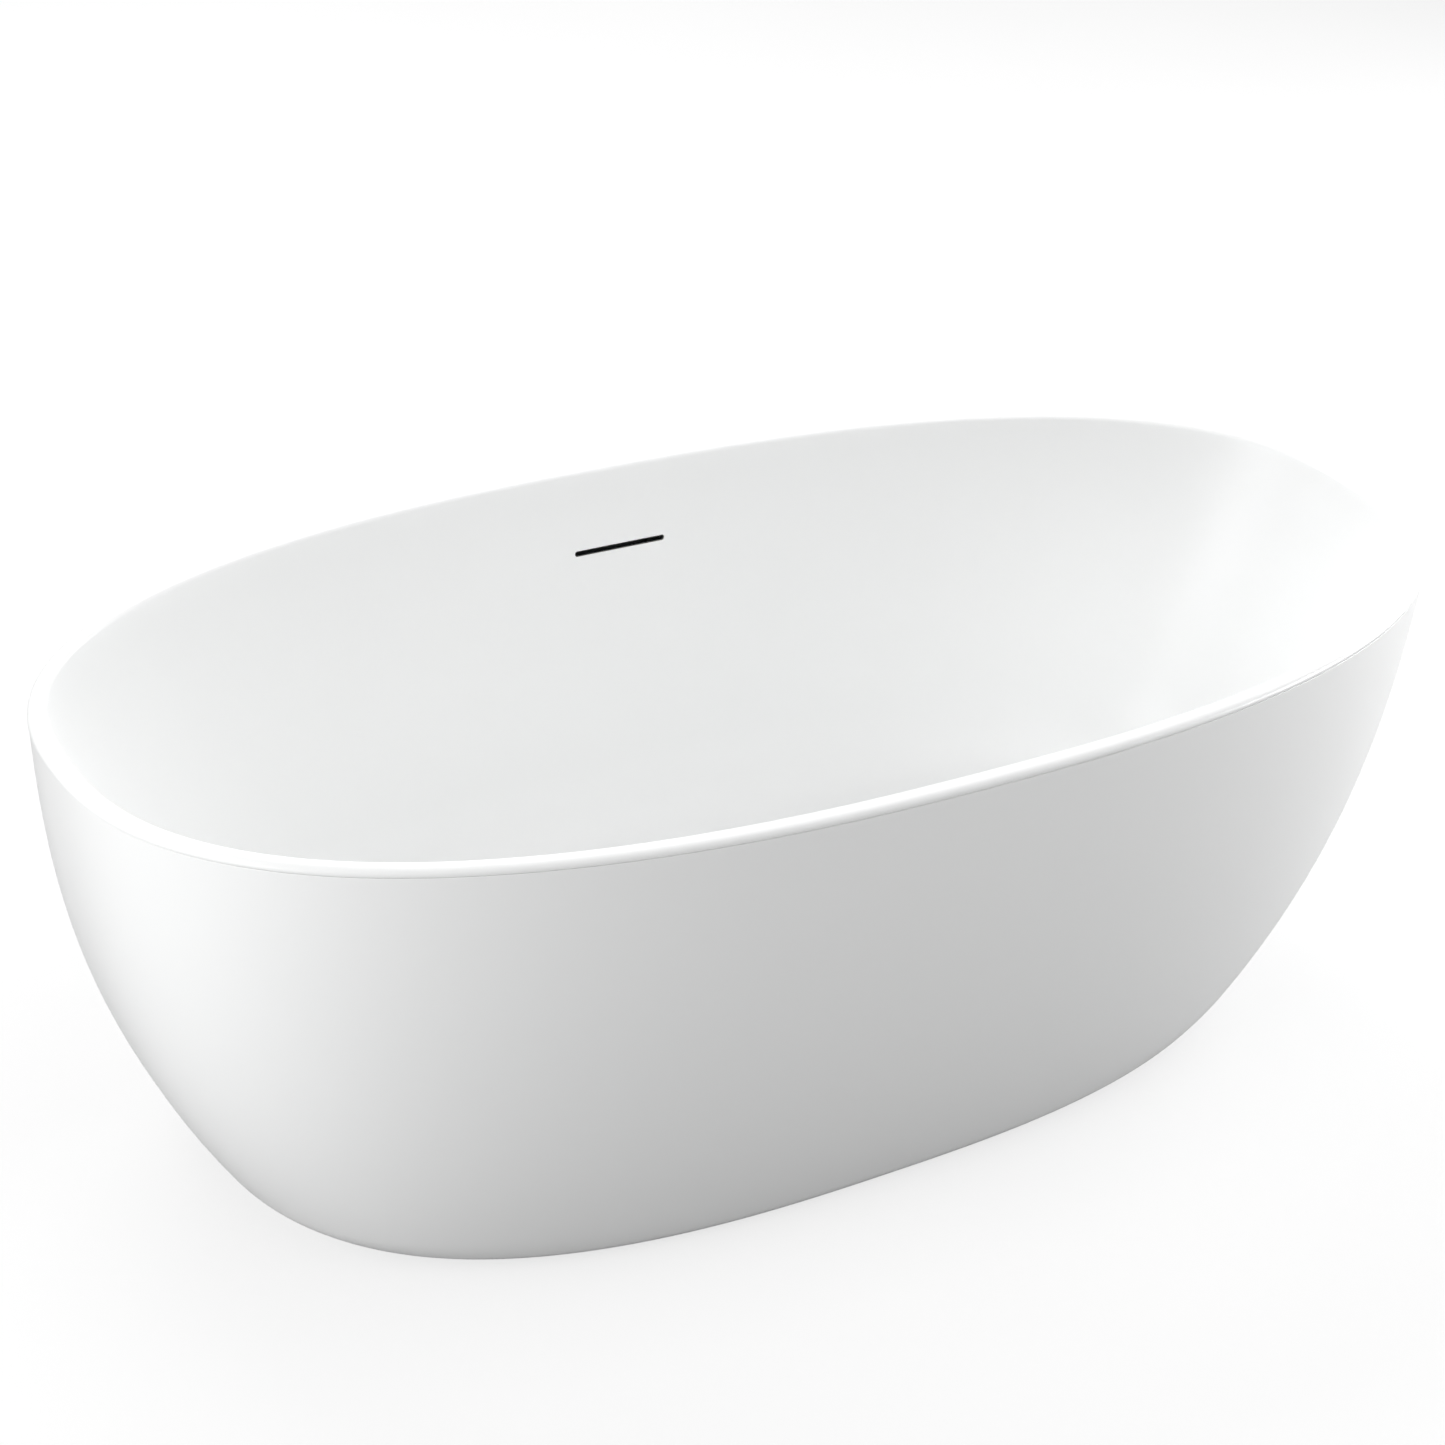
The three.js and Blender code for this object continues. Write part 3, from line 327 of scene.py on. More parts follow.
def hose_tree() -> NodeTree:
    """Follows a route with a round section, ribbed between two plain cuffs.

    Returns:
        The tree.
    """
    maker = TreeMaker("ribbed_hose", "GeometryNodeTree")
    route = maker.takes("Geometry", "Geometry")
    sides = maker.takes("Sides", "Int", 24)
    radius = maker.number("Radius", 0.0125)
    rib = maker.number("Rib Depth", 0.0)
    pitch = maker.number("Rib Pitch", 0.005)
    cuff = maker.number("Cuff", 0.02)
    step = maker.takes("Step", "Float", 0.001)
    capped = maker.takes("Closed Ends", "Bool", False)
    curve = maker.step("MeshToCurve", Mesh=route)
    even = maker.step("ResampleCurve", {"mode": "LENGTH"}, Curve=curve, Length=step)
    along = Number(maker, socket_named(maker.add("GeometryNodeSplineParameter").outputs, "Length"))
    from_end = along.math("MINIMUM", Number(maker, maker.step("SplineLength")) - along)
    inside = ((from_end - cuff) / pitch).math("MINIMUM", 1.0).math("MAXIMUM", 0.0)
    wave = (along / pitch * math.tau).math("COSINE") * 0.5 + 0.5
    widened = maker.step("SetCurveRadius", Curve=even, Radius=radius - rib * inside * wave ** 0.6)
    circle = maker.step("CurvePrimitiveCircle", Resolution=sides, Radius=1.0)
    tube = maker.step(
        "CurveToMesh", Curve=widened, Profile_Curve=circle, Scale=maker.step("InputRadius"), Fill_Caps=capped,
    )
    return finish_tree(maker, tube)


def ring_tree() -> NodeTree:
    """Repeats a shape evenly round the Z axis.

    Returns:
        The tree.
    """
    maker = TreeMaker("set_round", "GeometryNodeTree")
    shape = maker.takes("Geometry", "Geometry")
    count = maker.number("Count", 8, "Int")
    points = maker.step("Points", Count=count)
    turn = maker.vector(0.0, 0.0, Number(maker, maker.step("InputIndex")) / count * math.tau)
    return finish_tree(maker, maker.step("InstanceOnPoints", Points=points, Instance=shape, Rotation=turn))


def layout_tree() -> NodeTree:
    """Puts one shape on every point, turned as the point says.

    Returns:
        The tree.
    """
    maker = TreeMaker("set_out", "GeometryNodeTree")
    points = maker.takes("Geometry", "Geometry")
    pattern = maker.chain("GeometryNodeObjectInfo", Object=maker.takes("Pattern", "Object"))
    copies = maker.step(
        "InstanceOnPoints", Points=points, Instance=socket_named(pattern.outputs, "Geometry"),
        Rotation=maker.step("InputNamedAttribute", {"data_type": "FLOAT_VECTOR"}, Name="turn"),
    )
    return finish_tree(maker, copies)


class Tree(Enum):
    """The geometry trees, each made when it is first needed."""

    OVAL = "oval_sweep"
    THREAD = "screw_thread"
    HOSE = "ribbed_hose"
    ROUND = "set_round"
    LAYOUT = "set_out"

    def nodes(self) -> NodeTree:
        """The tree itself."""
        makers = {
            Tree.OVAL: oval_tree,
            Tree.THREAD: thread_tree,
            Tree.HOSE: hose_tree,
            Tree.ROUND: ring_tree,
            Tree.LAYOUT: layout_tree,
        }
        made = bpy.data.node_groups.get(self.value)
        return made or makers[self]()


# ---- Mesh helpers ----


def new_object(name: str, mesh: Mesh) -> bpy.types.Object:
    """Links a mesh into the scene under a name."""
    mesh.name = name
    piece = bpy.data.objects.new(name, mesh)
    bpy.context.scene.collection.objects.link(piece)
    return piece


def mesh_from(points: Sequence[Point3], faces: Sequence[Sequence[int]] = (),
              edges: Sequence[Sequence[int]] = ()) -> Mesh:
    """A mesh in metres from points in millimetres.

    Args:
        points: The points, in millimetres.
        faces: Point numbers round each face.
        edges: Point numbers of each loose edge.

    Returns:
        The mesh.
    """
    mesh = bpy.data.meshes.new("shape")
    mesh.from_pydata([Vector(point) * MM for point in points], edges, faces)
    return mesh


def applied(mesh: Mesh, kind: str, inputs: Optional[dict] = None, **settings: object) -> Mesh:
    """Runs one modifier on a mesh.

    Args:
        mesh: The mesh, which is used up.
        kind: The modifier's type.
        inputs: A geometry tree's inputs, by identifier.
        settings: The modifier's properties.

    Returns:
        The new mesh.
    """
    holder = new_object("holder", mesh)
    modifier = holder.modifiers.new("shape", kind)
    for name, value in settings.items():
        setattr(modifier, name, value)
    for identifier, value in (inputs or {}).items():
        modifier[identifier] = value
    graph = bpy.context.evaluated_depsgraph_get()
    graph.update()
    result = bpy.data.meshes.new_from_object(holder.evaluated_get(graph), depsgraph=graph)
    holder.modifiers.remove(modifier)
    bpy.data.objects.remove(holder)
    bpy.data.meshes.remove(mesh)
    return result


def grown(tree: Tree, mesh: Mesh, **values: object) -> Mesh:
    """Runs a geometry tree on a mesh.

    Args:
        tree: Which tree.
        mesh: The mesh that it starts from, which is used up.
        values: The tree's inputs by name, with _ for a space.

    Returns:
        The plain mesh that it gives, without empty slots.
    """
    nodes = tree.nodes()
    named = {name.replace("_", " "): value for name, value in values.items()}
    items = [item for item in nodes.interface.items_tree if item.in_out == "INPUT" and item.name in named]
    inputs = {item.identifier: named[item.name] for item in items}
    result = applied(mesh, "NODES", inputs, node_group=nodes)
    while result.materials and result.materials[0] is None:
        result.materials.pop(index=0)
    return result


def faced_outward(mesh: Mesh, weld: float = 1e-6) -> Mesh:
    """Merges a closed mesh's doubles and turns its faces outward."""
    work = bmesh.new()
    work.from_mesh(mesh)
    bmesh.ops.remove_doubles(work, verts=work.verts, dist=weld)
    bmesh.ops.recalc_face_normals(work, faces=work.faces)
    if work.calc_volume(signed=True) < 0:
        bmesh.ops.reverse_faces(work, faces=work.faces)
    work.to_mesh(mesh)
    work.free()
    return mesh


def joined(meshes: Sequence[Mesh]) -> Mesh:
    """One mesh from several, with the first one's materials."""
    whole = bmesh.new()
    for mesh in meshes:
        whole.from_mesh(mesh)
    target = meshes[0]
    whole.to_mesh(target)
    whole.free()
    for mesh in meshes[1:]:
        bpy.data.meshes.remove(mesh)
    return target


def less(mesh: Mesh, *cutters: Mesh, join: bool = False) -> Mesh:
    """Cuts closed meshes out of another, or joins them to it as one solid.

    Args:
        mesh: The mesh that stays.
        cutters: What is taken away or added.
        join: Adds them instead.

    Returns:
        The result.
    """
    for cutter in cutters:
        tool = new_object("tool", cutter)
        mode = "UNION" if join else "DIFFERENCE"
        mesh = applied(mesh, "BOOLEAN", object=tool, operation=mode, solver="EXACT")
        bpy.data.objects.remove(tool)
        bpy.data.meshes.remove(cutter)
    return mesh


def softened(mesh: Mesh, width: float, segments: int = 2) -> Mesh:
    """Rounds a mesh's sharp edges, by a width in millimetres."""
    return applied(
        mesh, "BEVEL", width=width * MM, segments=segments, limit_method="ANGLE",
        angle_limit=math.radians(40), use_clamp_overlap=True,
    )


def rounded(outline: Sequence[Point2], radius: float, steps: int = 4,
            only: Optional[Container[int]] = None) -> list[Point2]:
    """Rounds the corners of a closed outline.

    Args:
        outline: The corners, in order.
        radius: The length that a rounding takes off each side.
        steps: Points on each rounding.
        only: The places of the corners to round; without it, all that don't stand on the axis.

    Returns:
        The new outline.
    """
    result: list[Point2] = []
    count = len(outline)
    for place, corner in enumerate(outline):
        here = Vector(corner)
        before = Vector(outline[place - 1]) - here
        after = Vector(outline[(place + 1) % count]) - here
        reach = min(radius, before.length * 0.45, after.length * 0.45)
        kept = here.x < 1e-6 if only is None else place not in only
        straight = before.length < 1e-9 or after.length < 1e-9 or before.angle(after) > 3.05
        if kept or straight or radius <= 0:
            result.append(corner)
            continue
        first = here + before.normalized() * reach
        last = here + after.normalized() * reach
        for step in range(steps + 1):
            share = step / steps
            spot = first.lerp(here, share).lerp(here.lerp(last, share), share)
            result.append((spot.x, spot.y))
    return result


def prism(outline: Sequence[Point2], near: float, far: float) -> Mesh:
    """Stretches an outline in X and Z along Y.

    Args:
        outline: The outline's corners.
        near: Where it starts along Y.
        far: Where it ends.

    Returns:
        A closed mesh.
    """
    count = len(outline)
    points = [(x, near, z) for x, z in outline] + [(x, far, z) for x, z in outline]
    faces: list[Sequence[int]] = [tuple(range(count)), tuple(range(2 * count - 1, count - 1, -1))]
    for place in range(count):
        after = (place + 1) % count
        faces.append((place, place + count, after + count, after))
    return faced_outward(mesh_from(points, faces))


def slab(low: Point3, high: Point3) -> Mesh:
    """A box between two corners."""
    outline = [(low[0], low[2]), (high[0], low[2]), (high[0], high[2]), (low[0], high[2])]
    return prism(outline, low[1], high[1])


def stadium(length: float, height: float, steps: int = 16) -> list[Point2]:
    """The outline of a bar with round ends."""
    radius = height / 2
    reach = length / 2 - radius
    result: list[Point2] = []
    for side, start in ((1, -math.pi / 2), (-1, math.pi / 2)):
        for step in range(steps + 1):
            angle = start + math.pi * step / steps
            result.append((side * reach + radius * math.cos(angle), radius * math.sin(angle)))
    return result


def placed(mesh: Mesh, matrix: Matrix) -> Mesh:
    """Moves a mesh; the matrix's shift is in millimetres."""
    shift = Matrix.Translation(matrix.translation * MM)
    turn = matrix.to_3x3().to_4x4()
    mesh.transform(shift @ turn)
    return mesh


@dataclass(frozen=True)
class Station:
    """One place on a section that is swept round an oval, in millimetres."""

    a: float
    b: float
    z: float
    power: float = 2.0


def mix(first: float, last: float, share: float) -> float:
    """A value part of the way between two."""
    return first + (last - first) * share


def between(first: Station, last: Station, steps: int) -> list[Station]:
    """Even steps between two stations, without either."""
    shares = [step / steps for step in range(1, steps)]
    return [
        Station(
            mix(first.a, last.a, share), mix(first.b, last.b, share),
            mix(first.z, last.z, share), mix(first.power, last.power, share),
        )
        for share in shares
    ]


def path_through(points: Sequence[Point3]) -> Mesh:
    """Points joined in a row by edges."""
    return mesh_from(points, (), [(place, place + 1) for place in range(len(points) - 1)])


def circle(radius: float, z: float, steps: int, x: float = 0.0, y: float = 0.0) -> list[Point3]:
    """Points evenly round a level circle."""
    angles = [step / steps * math.tau for step in range(steps)]
    return [(x + radius * math.cos(angle), y + radius * math.sin(angle), z) for angle in angles]


def swept(stations: Sequence[Station], sides: int, **finish: object) -> Mesh:
    """Sweeps a section round an oval.

    Args:
        stations: The section, closed unless both of its ends stand on the axis.
        sides: Steps round the oval.
        finish: The two materials, and how many bands of faces the first one covers, where it has them.

    Returns:
        A closed mesh.
    """
    loop = list(stations)
    if loop[0].a > 1e-6 or loop[-1].a > 1e-6:
        loop.append(loop[0])
    section = path_through([(station.a, station.b, station.z) for station in loop])
    power = section.attributes.new("power", "FLOAT", "POINT")
    power.data.foreach_set("value", [station.power for station in loop])
    mesh = faced_outward(grown(Tree.OVAL, section, Sides=sides, **finish))
    mesh.attributes.remove(mesh.attributes["front"])
    return mesh


def turned(outline: Sequence[Point2], sides: int = 64, radius: float = 0.0) -> Mesh:
    """Turns an outline of radius and height about Z, with its corners rounded."""
    return swept([Station(r, r, z) for r, z in rounded(outline, radius)], sides)


def ring_outline(inner: float, outer: float, low: float, high: float) -> list[Point2]:
    """The outline of a ring, a tube or a solid bar, as radius and height."""
    return [(inner, low), (outer, low), (outer, high), (inner, high)]


def centripetal(points: Sequence[Vector], steps: int = 12) -> list[Vector]:
    """A smooth route through points that are unevenly spaced.

    Args:
        points: The points to pass through.
        steps: Steps between each pair.

    Returns:
        The route's points.
    """
    ends = [points[0] * 2 - points[1], *points, points[-1] * 2 - points[-2]]
    route: list[Vector] = []
    for place in range(1, len(ends) - 2):
        four = ends[place - 1: place + 3]
        knots = [0.0]
        for first, second in zip(four, four[1:]):
            knots.append(knots[-1] + max((second - first).length, 1e-6) ** 0.5)
        for step in range(steps):
            route.append(pyramid(four, knots, mix(knots[1], knots[2], step / steps)))
    route.append(points[-1].copy())
    return route


def pyramid(points: Sequence[Vector], knots: Sequence[float], spot: float) -> Vector:
    """Blends four points into one on the curve through the middle two.

    Args:
        points: The four points.
        knots: Their places along the curve.
        spot: The place asked for.

    Returns:
        The point there.
    """
    level = list(points)
    for span in (1, 2, 3):
        blended = []
        for place in range(len(level) - 1):
            low, high = (knots[1], knots[2]) if span == 3 else (knots[place], knots[place + span])
            blended.append(level[place].lerp(level[place + 1], (spot - low) / (high - low)))
        level = blended
    return level[0]


# ---- Finishes ----


def mottle_group() -> NodeTree:
    """Two colours in soft clouds, and the clouds as a mask."""
    maker = TreeMaker("soft_mottle", "ShaderNodeTree")
    spot = maker.takes("Vector", "Vector")
    light = maker.takes("Light", "Color", (0.8, 0.8, 0.8, 1))
    dark = maker.takes("Dark", "Color", (0.7, 0.7, 0.7, 1))
    scale = maker.takes("Scale", "Float", 20.0)
    detail = maker.takes("Detail", "Float", 4.0)
    low = maker.takes("Low", "Float", 0.35)
    high = maker.takes("High", "Float", 0.65)
    noise = maker.chain("ShaderNodeTexNoise", Vector=spot, Scale=scale, Detail=detail, Roughness=0.6)
    mask = maker.chain(
        "ShaderNodeMapRange", {"interpolation_type": "SMOOTHSTEP"},
        Value=noise.outputs[0], From_Min=low, From_Max=high,
    )
    blend = maker.chain("ShaderNodeMix", {"data_type": "RGBA"}, Factor=mask.outputs[0], A=light, B=dark)
    maker.gives("Colour", "Color", socket_named(blend.outputs, "Result"))
    maker.gives("Mask", "Float", mask.outputs[0])
    return maker.tree


def relief_group() -> NodeTree:
    """A slightly uneven surface, coarse waves under a fine grain, as a normal."""
    maker = TreeMaker("uneven_surface", "ShaderNodeTree")
    spot = maker.takes("Vector", "Vector")
    coarse = maker.takes("Wave Scale", "Float", 12.0)
    fine = maker.takes("Grain Scale", "Float", 600.0)
    wave_height = maker.takes("Wave Height", "Float", 0.00002)
    grain_height = maker.takes("Grain Height", "Float", 0.000005)
    waves = maker.chain("ShaderNodeTexNoise", Vector=spot, Scale=coarse, Detail=1.0)
    grain = maker.chain("ShaderNodeTexNoise", Vector=spot, Scale=fine, Detail=2.0)
    height = Number(maker, waves.outputs[0]) * Number(maker, wave_height)
    height = height + Number(maker, grain.outputs[0]) * Number(maker, grain_height)
    bump = maker.chain("ShaderNodeBump", Strength=1.0, Distance=1.0, Height=height)
    maker.gives("Normal", "Vector", bump.outputs[0])
    return maker.tree


class Dressing(NodeMaker):
    """One material in the making, with its shader and the node that says where on the piece it is."""

    def __init__(self, name: str) -> None:
        """Starts a material under a name."""
        self.material = bpy.data.materials.new(name)
        self.material.use_nodes = True
        super().__init__(self.material.node_tree)
        self.shader = self.tree.nodes["Principled BSDF"]
        self.where = self.add("ShaderNodeTexCoord").outputs["Object"]

    def group(self, name: str, make: Callable[[], NodeTree], **inputs: object) -> Node:
        """Places a shader group by its name with its inputs filled, and makes the group once."""
        tree = bpy.data.node_groups.get(name) or make()
        return self.chain("ShaderNodeGroup", {"node_tree": tree}, **inputs)

    def fill(self, **values: object) -> None:
        """Fills the shader's own sockets, with _ for a space in their names."""
        for name, value in values.items():
            self.put(socket_named(self.shader.inputs, name.replace("_", " ")), value)

    def ranged(self, source: Socket, low: float, high: float) -> Socket:
        """A mask as a number between two values."""
        return self.chain("ShaderNodeMapRange", Value=source, To_Min=low, To_Max=high).outputs[0]

    def tint(self, share: Socket, ground: Socket, colour: Colour, shade: float) -> None:
        """Mixes a darkened colour into the base colour by a mask."""
        dark = rgba(colour, shade)
        blend = self.chain("ShaderNodeMix", {"data_type": "RGBA"}, Factor=share, A=ground, B=dark)
        self.fill(Base_Color=socket_named(blend.outputs, "Result"))

    def emboss(self, height: Socket, depth: float, strength: float = 0.5, **settings: object) -> None:
        """Raises the surface by a height, with the depth in metres."""
        bump = self.chain("ShaderNodeBump", settings, Strength=strength, Distance=depth, Height=height)
        self.fill(Normal=bump.outputs[0])


def rgba(colour: Colour, shade: float = 1.0) -> tuple[float, float, float, float]:
    """A colour with full alpha, darkened by a factor."""
    return (*(part * shade for part in colour), 1.0)


@dataclass(frozen=True)
class Finish:
    """A plain finish: two near colours in clouds, a gloss that follows them and an uneven surface.

    Heights are millimetres, and scales are repeats to the metre.
    """

    name: str
    slot: str
    light: Colour
    dark: Colour
    mottle: float = 18.0
    mottle_detail: float = 4.0
    mottle_spread: float = 0.15
    gloss_low: float = 0.4
    gloss_high: float = 0.5
    metal: float = 0.0
    wave_scale: float = 14.0
    wave: float = 0.02
    grain_scale: float = 700.0
    grain: float = 0.006
    coat: float = 0.0
    coat_roughness: float = 0.03
    specular: float = 0.5

    def material(self) -> Material:
        """The material, made once."""
        known = bpy.data.materials.get(self.name)
        if known:
            return known
        made = Dressing(self.name)
        made.fill(
            Metallic=self.metal, Coat_Weight=self.coat, Coat_Roughness=self.coat_roughness,
            Specular_IOR_Level=self.specular,
        )
        clouds = made.group(
            "soft_mottle", mottle_group, Vector=made.where, Scale=self.mottle,
            Light=rgba(self.light), Dark=rgba(self.dark), Detail=self.mottle_detail,
            Low=0.5 - self.mottle_spread, High=0.5 + self.mottle_spread,
        )
        gloss = made.ranged(clouds.outputs["Mask"], self.gloss_low, self.gloss_high)
        made.fill(Base_Color=clouds.outputs["Colour"], Roughness=gloss)
        self.add_surface(made, clouds.outputs["Colour"])
        return made.material

    def add_surface(self, made: Dressing, _ground: Socket) -> None:
        """Adds the relief; other kinds of finish add more, over the colour so far."""
        surface = made.group(
            "uneven_surface", relief_group, Vector=made.where,
            Wave_Scale=self.wave_scale, Grain_Scale=self.grain_scale,
            Wave_Height=self.wave * MM, Grain_Height=self.grain * MM,
        )
        made.fill(Normal=surface.outputs["Normal"])


@dataclass(frozen=True)
class GlassFibre(Finish):
    """Chopped glass strands in resin, rough and dull."""

    strand_scale: float = 55.0
    strand_length: float = 9.0
    drift: float = 0.05
    shade: float = 0.72

    def add_surface(self, made: Dressing, ground: Socket) -> None:
        """Adds strands that cross in three directions."""
        bent = made.chain("ShaderNodeTexNoise", Vector=made.where, Scale=30.0, Detail=1.0)
        moved = made.add("ShaderNodeVectorMath", operation="MULTIPLY_ADD")
        for target, value in zip(moved.inputs, (bent.outputs["Color"], (self.drift,) * 3, made.where)):
            made.put(target, value)
        layers = []
        for turn in (0.4, 1.5, 2.6):
            laid = made.chain(
                "ShaderNodeMapping", Vector=moved.outputs[0], Rotation=(turn, turn * 0.7, turn),
                Scale=(1, self.strand_length, 1),
            )
            cells = made.chain("ShaderNodeTexVoronoi", Vector=laid.outputs[0], Scale=self.strand_scale)
            layers.append(Number(made, cells.outputs["Distance"]))
        strands = layers[0].math("MINIMUM", layers[1]).math("MINIMUM", layers[2])
        made.tint(made.ranged(strands.source, 0.0, 0.85), ground, self.dark, self.shade)
        made.emboss(strands.source, 0.0006, 0.7, invert=True)


@dataclass(frozen=True)
class Chipboard(Finish):
    """Pressed wood chips, light and dark flakes lying every way."""

    flake_scale: float = 420.0
    shade: float = 0.45

    def add_surface(self, made: Dressing, ground: Socket) -> None:
        """Adds the flakes."""
        laid = made.chain(
            "ShaderNodeMapping", Vector=made.where, Rotation=(0.2, 0.3, 0.5), Scale=(1, 0.45, 1.6),
        )
        flakes = made.chain("ShaderNodeTexVoronoi", Vector=laid.outputs[0], Scale=self.flake_scale)
        tone = made.chain("ShaderNodeSeparateColor", Color=flakes.outputs["Color"])
        made.tint(tone.outputs[0], ground, self.dark, self.shade)
        made.emboss(tone.outputs[1], 0.0004)


@dataclass(frozen=True)
class Galvanised(Finish):
    """Hot-dipped zinc with its spangle of flat crystals."""

    spangle_scale: float = 90.0
    strength: float = 0.5
    shade: float = 0.6

    def add_surface(self, made: Dressing, ground: Socket) -> None:
        """Adds the crystals to the colour and the gloss."""
        super().add_surface(made, ground)
        crystals = made.chain("ShaderNodeTexVoronoi", Vector=made.where, Scale=self.spangle_scale)
        tone = made.chain("ShaderNodeSeparateColor", Color=crystals.outputs["Color"])
        made.tint(made.ranged(tone.outputs[0], 0.0, self.strength), ground, self.dark, self.shade)
        made.fill(Roughness=made.ranged(tone.outputs[1], self.gloss_low, self.gloss_high))


@dataclass(frozen=True)
class Brushed(Finish):
    """Polished or turned metal with fine lines round its axis."""

    line_scale: float = 900.0
    line_height: float = 0.004

    def add_surface(self, made: Dressing, _ground: Socket) -> None:
        """Adds the turning lines."""
        flat = made.chain("ShaderNodeMapping", Vector=made.where, Scale=(0.05, 0.05, 1.0))
        lines = made.chain("ShaderNodeTexNoise", Vector=flat.outputs[0], Scale=self.line_scale, Detail=2.0)
        made.emboss(lines.outputs[0], self.line_height * MM)


class Look(Enum):
    """Every finish on the tub."""

    ACRYLIC = Finish(
        "gloss_white_acrylic", "white_acrylic", (0.882, 0.886, 0.884), (0.872, 0.878, 0.877),
        mottle=2.2, mottle_detail=0.5, mottle_spread=0.42, gloss_low=0.33, gloss_high=0.38,
        wave_scale=7.0, wave=0.04, grain_scale=420.0, grain=0.0012, coat=0.06, coat_roughness=0.3,
    )
    FIBRE_BACK = GlassFibre(
        "glass_fibre_back", "white_acrylic", (0.72, 0.71, 0.64), (0.60, 0.59, 0.50),
        mottle=9.0, gloss_low=0.5, gloss_high=0.75,
    )
    BOND = Finish(
        "cured_adhesive", "bond", (0.66, 0.63, 0.56), (0.56, 0.52, 0.44),
        mottle=40.0, gloss_low=0.45, gloss_high=0.7, wave_scale=60.0, wave=0.25, grain=0.02,
    )
    BOARD = Chipboard(
        "pressed_chip_board", "board", (0.52, 0.37, 0.19), (0.42, 0.28, 0.13),
        mottle=14.0, gloss_low=0.65, gloss_high=0.85,
    )
    TUBE = Galvanised(
        "galvanised_tube", "frame_steel", (0.62, 0.64, 0.65), (0.48, 0.50, 0.52),
        mottle=22.0, gloss_low=0.3, gloss_high=0.5, metal=1.0, wave=0.01,
    )
    ZINC = Galvanised(
        "bright_zinc", "zinc", (0.70, 0.71, 0.71), (0.58, 0.59, 0.56),
        mottle=120.0, gloss_low=0.2, gloss_high=0.36, metal=1.0, spangle_scale=600.0, strength=0.25,
    )
    FOOT = Finish(
        "moulded_foot_plastic", "foot_plastic", (0.028, 0.029, 0.031), (0.018, 0.019, 0.021),
        mottle=60.0, gloss_low=0.42, gloss_high=0.6, grain=0.03, grain_scale=1500.0,
    )
    CHROME = Brushed(
        "polished_chrome", "chrome", (0.83, 0.845, 0.86), (0.79, 0.81, 0.83),
        mottle=30.0, gloss_low=0.04, gloss_high=0.09, metal=1.0, line_height=0.0015,
    )
    RUBBER = Finish(
        "soft_rubber", "rubber", (0.022, 0.022, 0.023), (0.014, 0.014, 0.015),
        mottle=90.0, gloss_low=0.7, gloss_high=0.88, grain=0.03, grain_scale=1200.0,
    )
    GREY_PLASTIC = Finish(
        "grey_moulding", "grey_plastic", (0.30, 0.32, 0.33), (0.26, 0.275, 0.285),
        mottle=25.0, gloss_low=0.35, gloss_high=0.5, grain=0.02, grain_scale=1300.0,
    )
    HOSE = Finish(
        "hose_plastic", "hose", (0.40, 0.415, 0.42), (0.33, 0.345, 0.35),
        mottle=30.0, gloss_low=0.38, gloss_high=0.55, grain=0.015, grain_scale=900.0,
    )
    BRASS = Brushed(
        "turned_brass", "brass", (0.70, 0.50, 0.22), (0.58, 0.39, 0.15),
        mottle=80.0, gloss_low=0.2, gloss_high=0.34, metal=1.0, line_height=0.006,
    )
    SPRING = Brushed(
        "spring_wire", "spring_steel", (0.60, 0.61, 0.62), (0.48, 0.49, 0.50),
        mottle=200.0, gloss_low=0.22, gloss_high=0.35, metal=1.0,
    )
    # Painted shade: the slot trim's dark colour stands in for the shade inside the overflow slot.
    SLOT = Brushed(
        "dark_slot_metal", "slot_trim", (0.15, 0.155, 0.158), (0.11, 0.114, 0.117),
        mottle=60.0, gloss_low=0.22, gloss_high=0.34, metal=1.0, line_height=0.002,
    )

    @property
    def material(self) -> Material:
        """The finish's material."""
        return self.value.material()


# ---- Sizes and surfaces shared by the pieces ----


@dataclass(frozen=True)
class Wall:
    """One wall of the well in section: a rim round, a leaning line and a turn into the floor."""

    half: float
    lean: float
    turn: float
    height: float
    rim_width: float
    rim_round: float
    edge: float

    @property
    def steep(self) -> float:
        """Length along the wall for each unit of height."""
        return math.hypot(1, self.lean)

    @property
    def floor_reach(self) -> float:
        """Where the turn meets the floor."""
        turn_z = self.edge + self.turn
        return self.half - self.rim_width - self.lean * (self.height - turn_z) - self.turn * self.steep

    @property
    def rim_reach(self) -> float:
        """Where the rim's flat meets its inner round."""
        turned_by = math.pi / 2 - math.atan(self.lean)
        return self.half - self.rim_width + self.rim_round * math.tan(turned_by / 2)

    def reach(self, z: float, offset: float = 0.0) -> float:
        """Half-size of the well at a height.

        Args:
            z: The height.
            offset: How far outside the face.

        Returns:
            The half-size.
        """
        radius = self.turn + offset
        turn_z = self.edge + self.turn
        if z < turn_z - radius * self.lean / self.steep:
            return self.floor_reach + math.sqrt(max(radius ** 2 - (turn_z - z) ** 2, 0.0))
        rim_low = self.height - self.rim_round * (1 - math.cos(math.pi / 2 - math.atan(self.lean)))
        if offset == 0 and z > rim_low:
            rise = self.rim_round - (self.height - z)
            return self.rim_reach - math.sqrt(max(self.rim_round ** 2 - rise ** 2, 0.0))
        return self.half - self.rim_width + offset * self.steep - self.lean * (self.height - z)


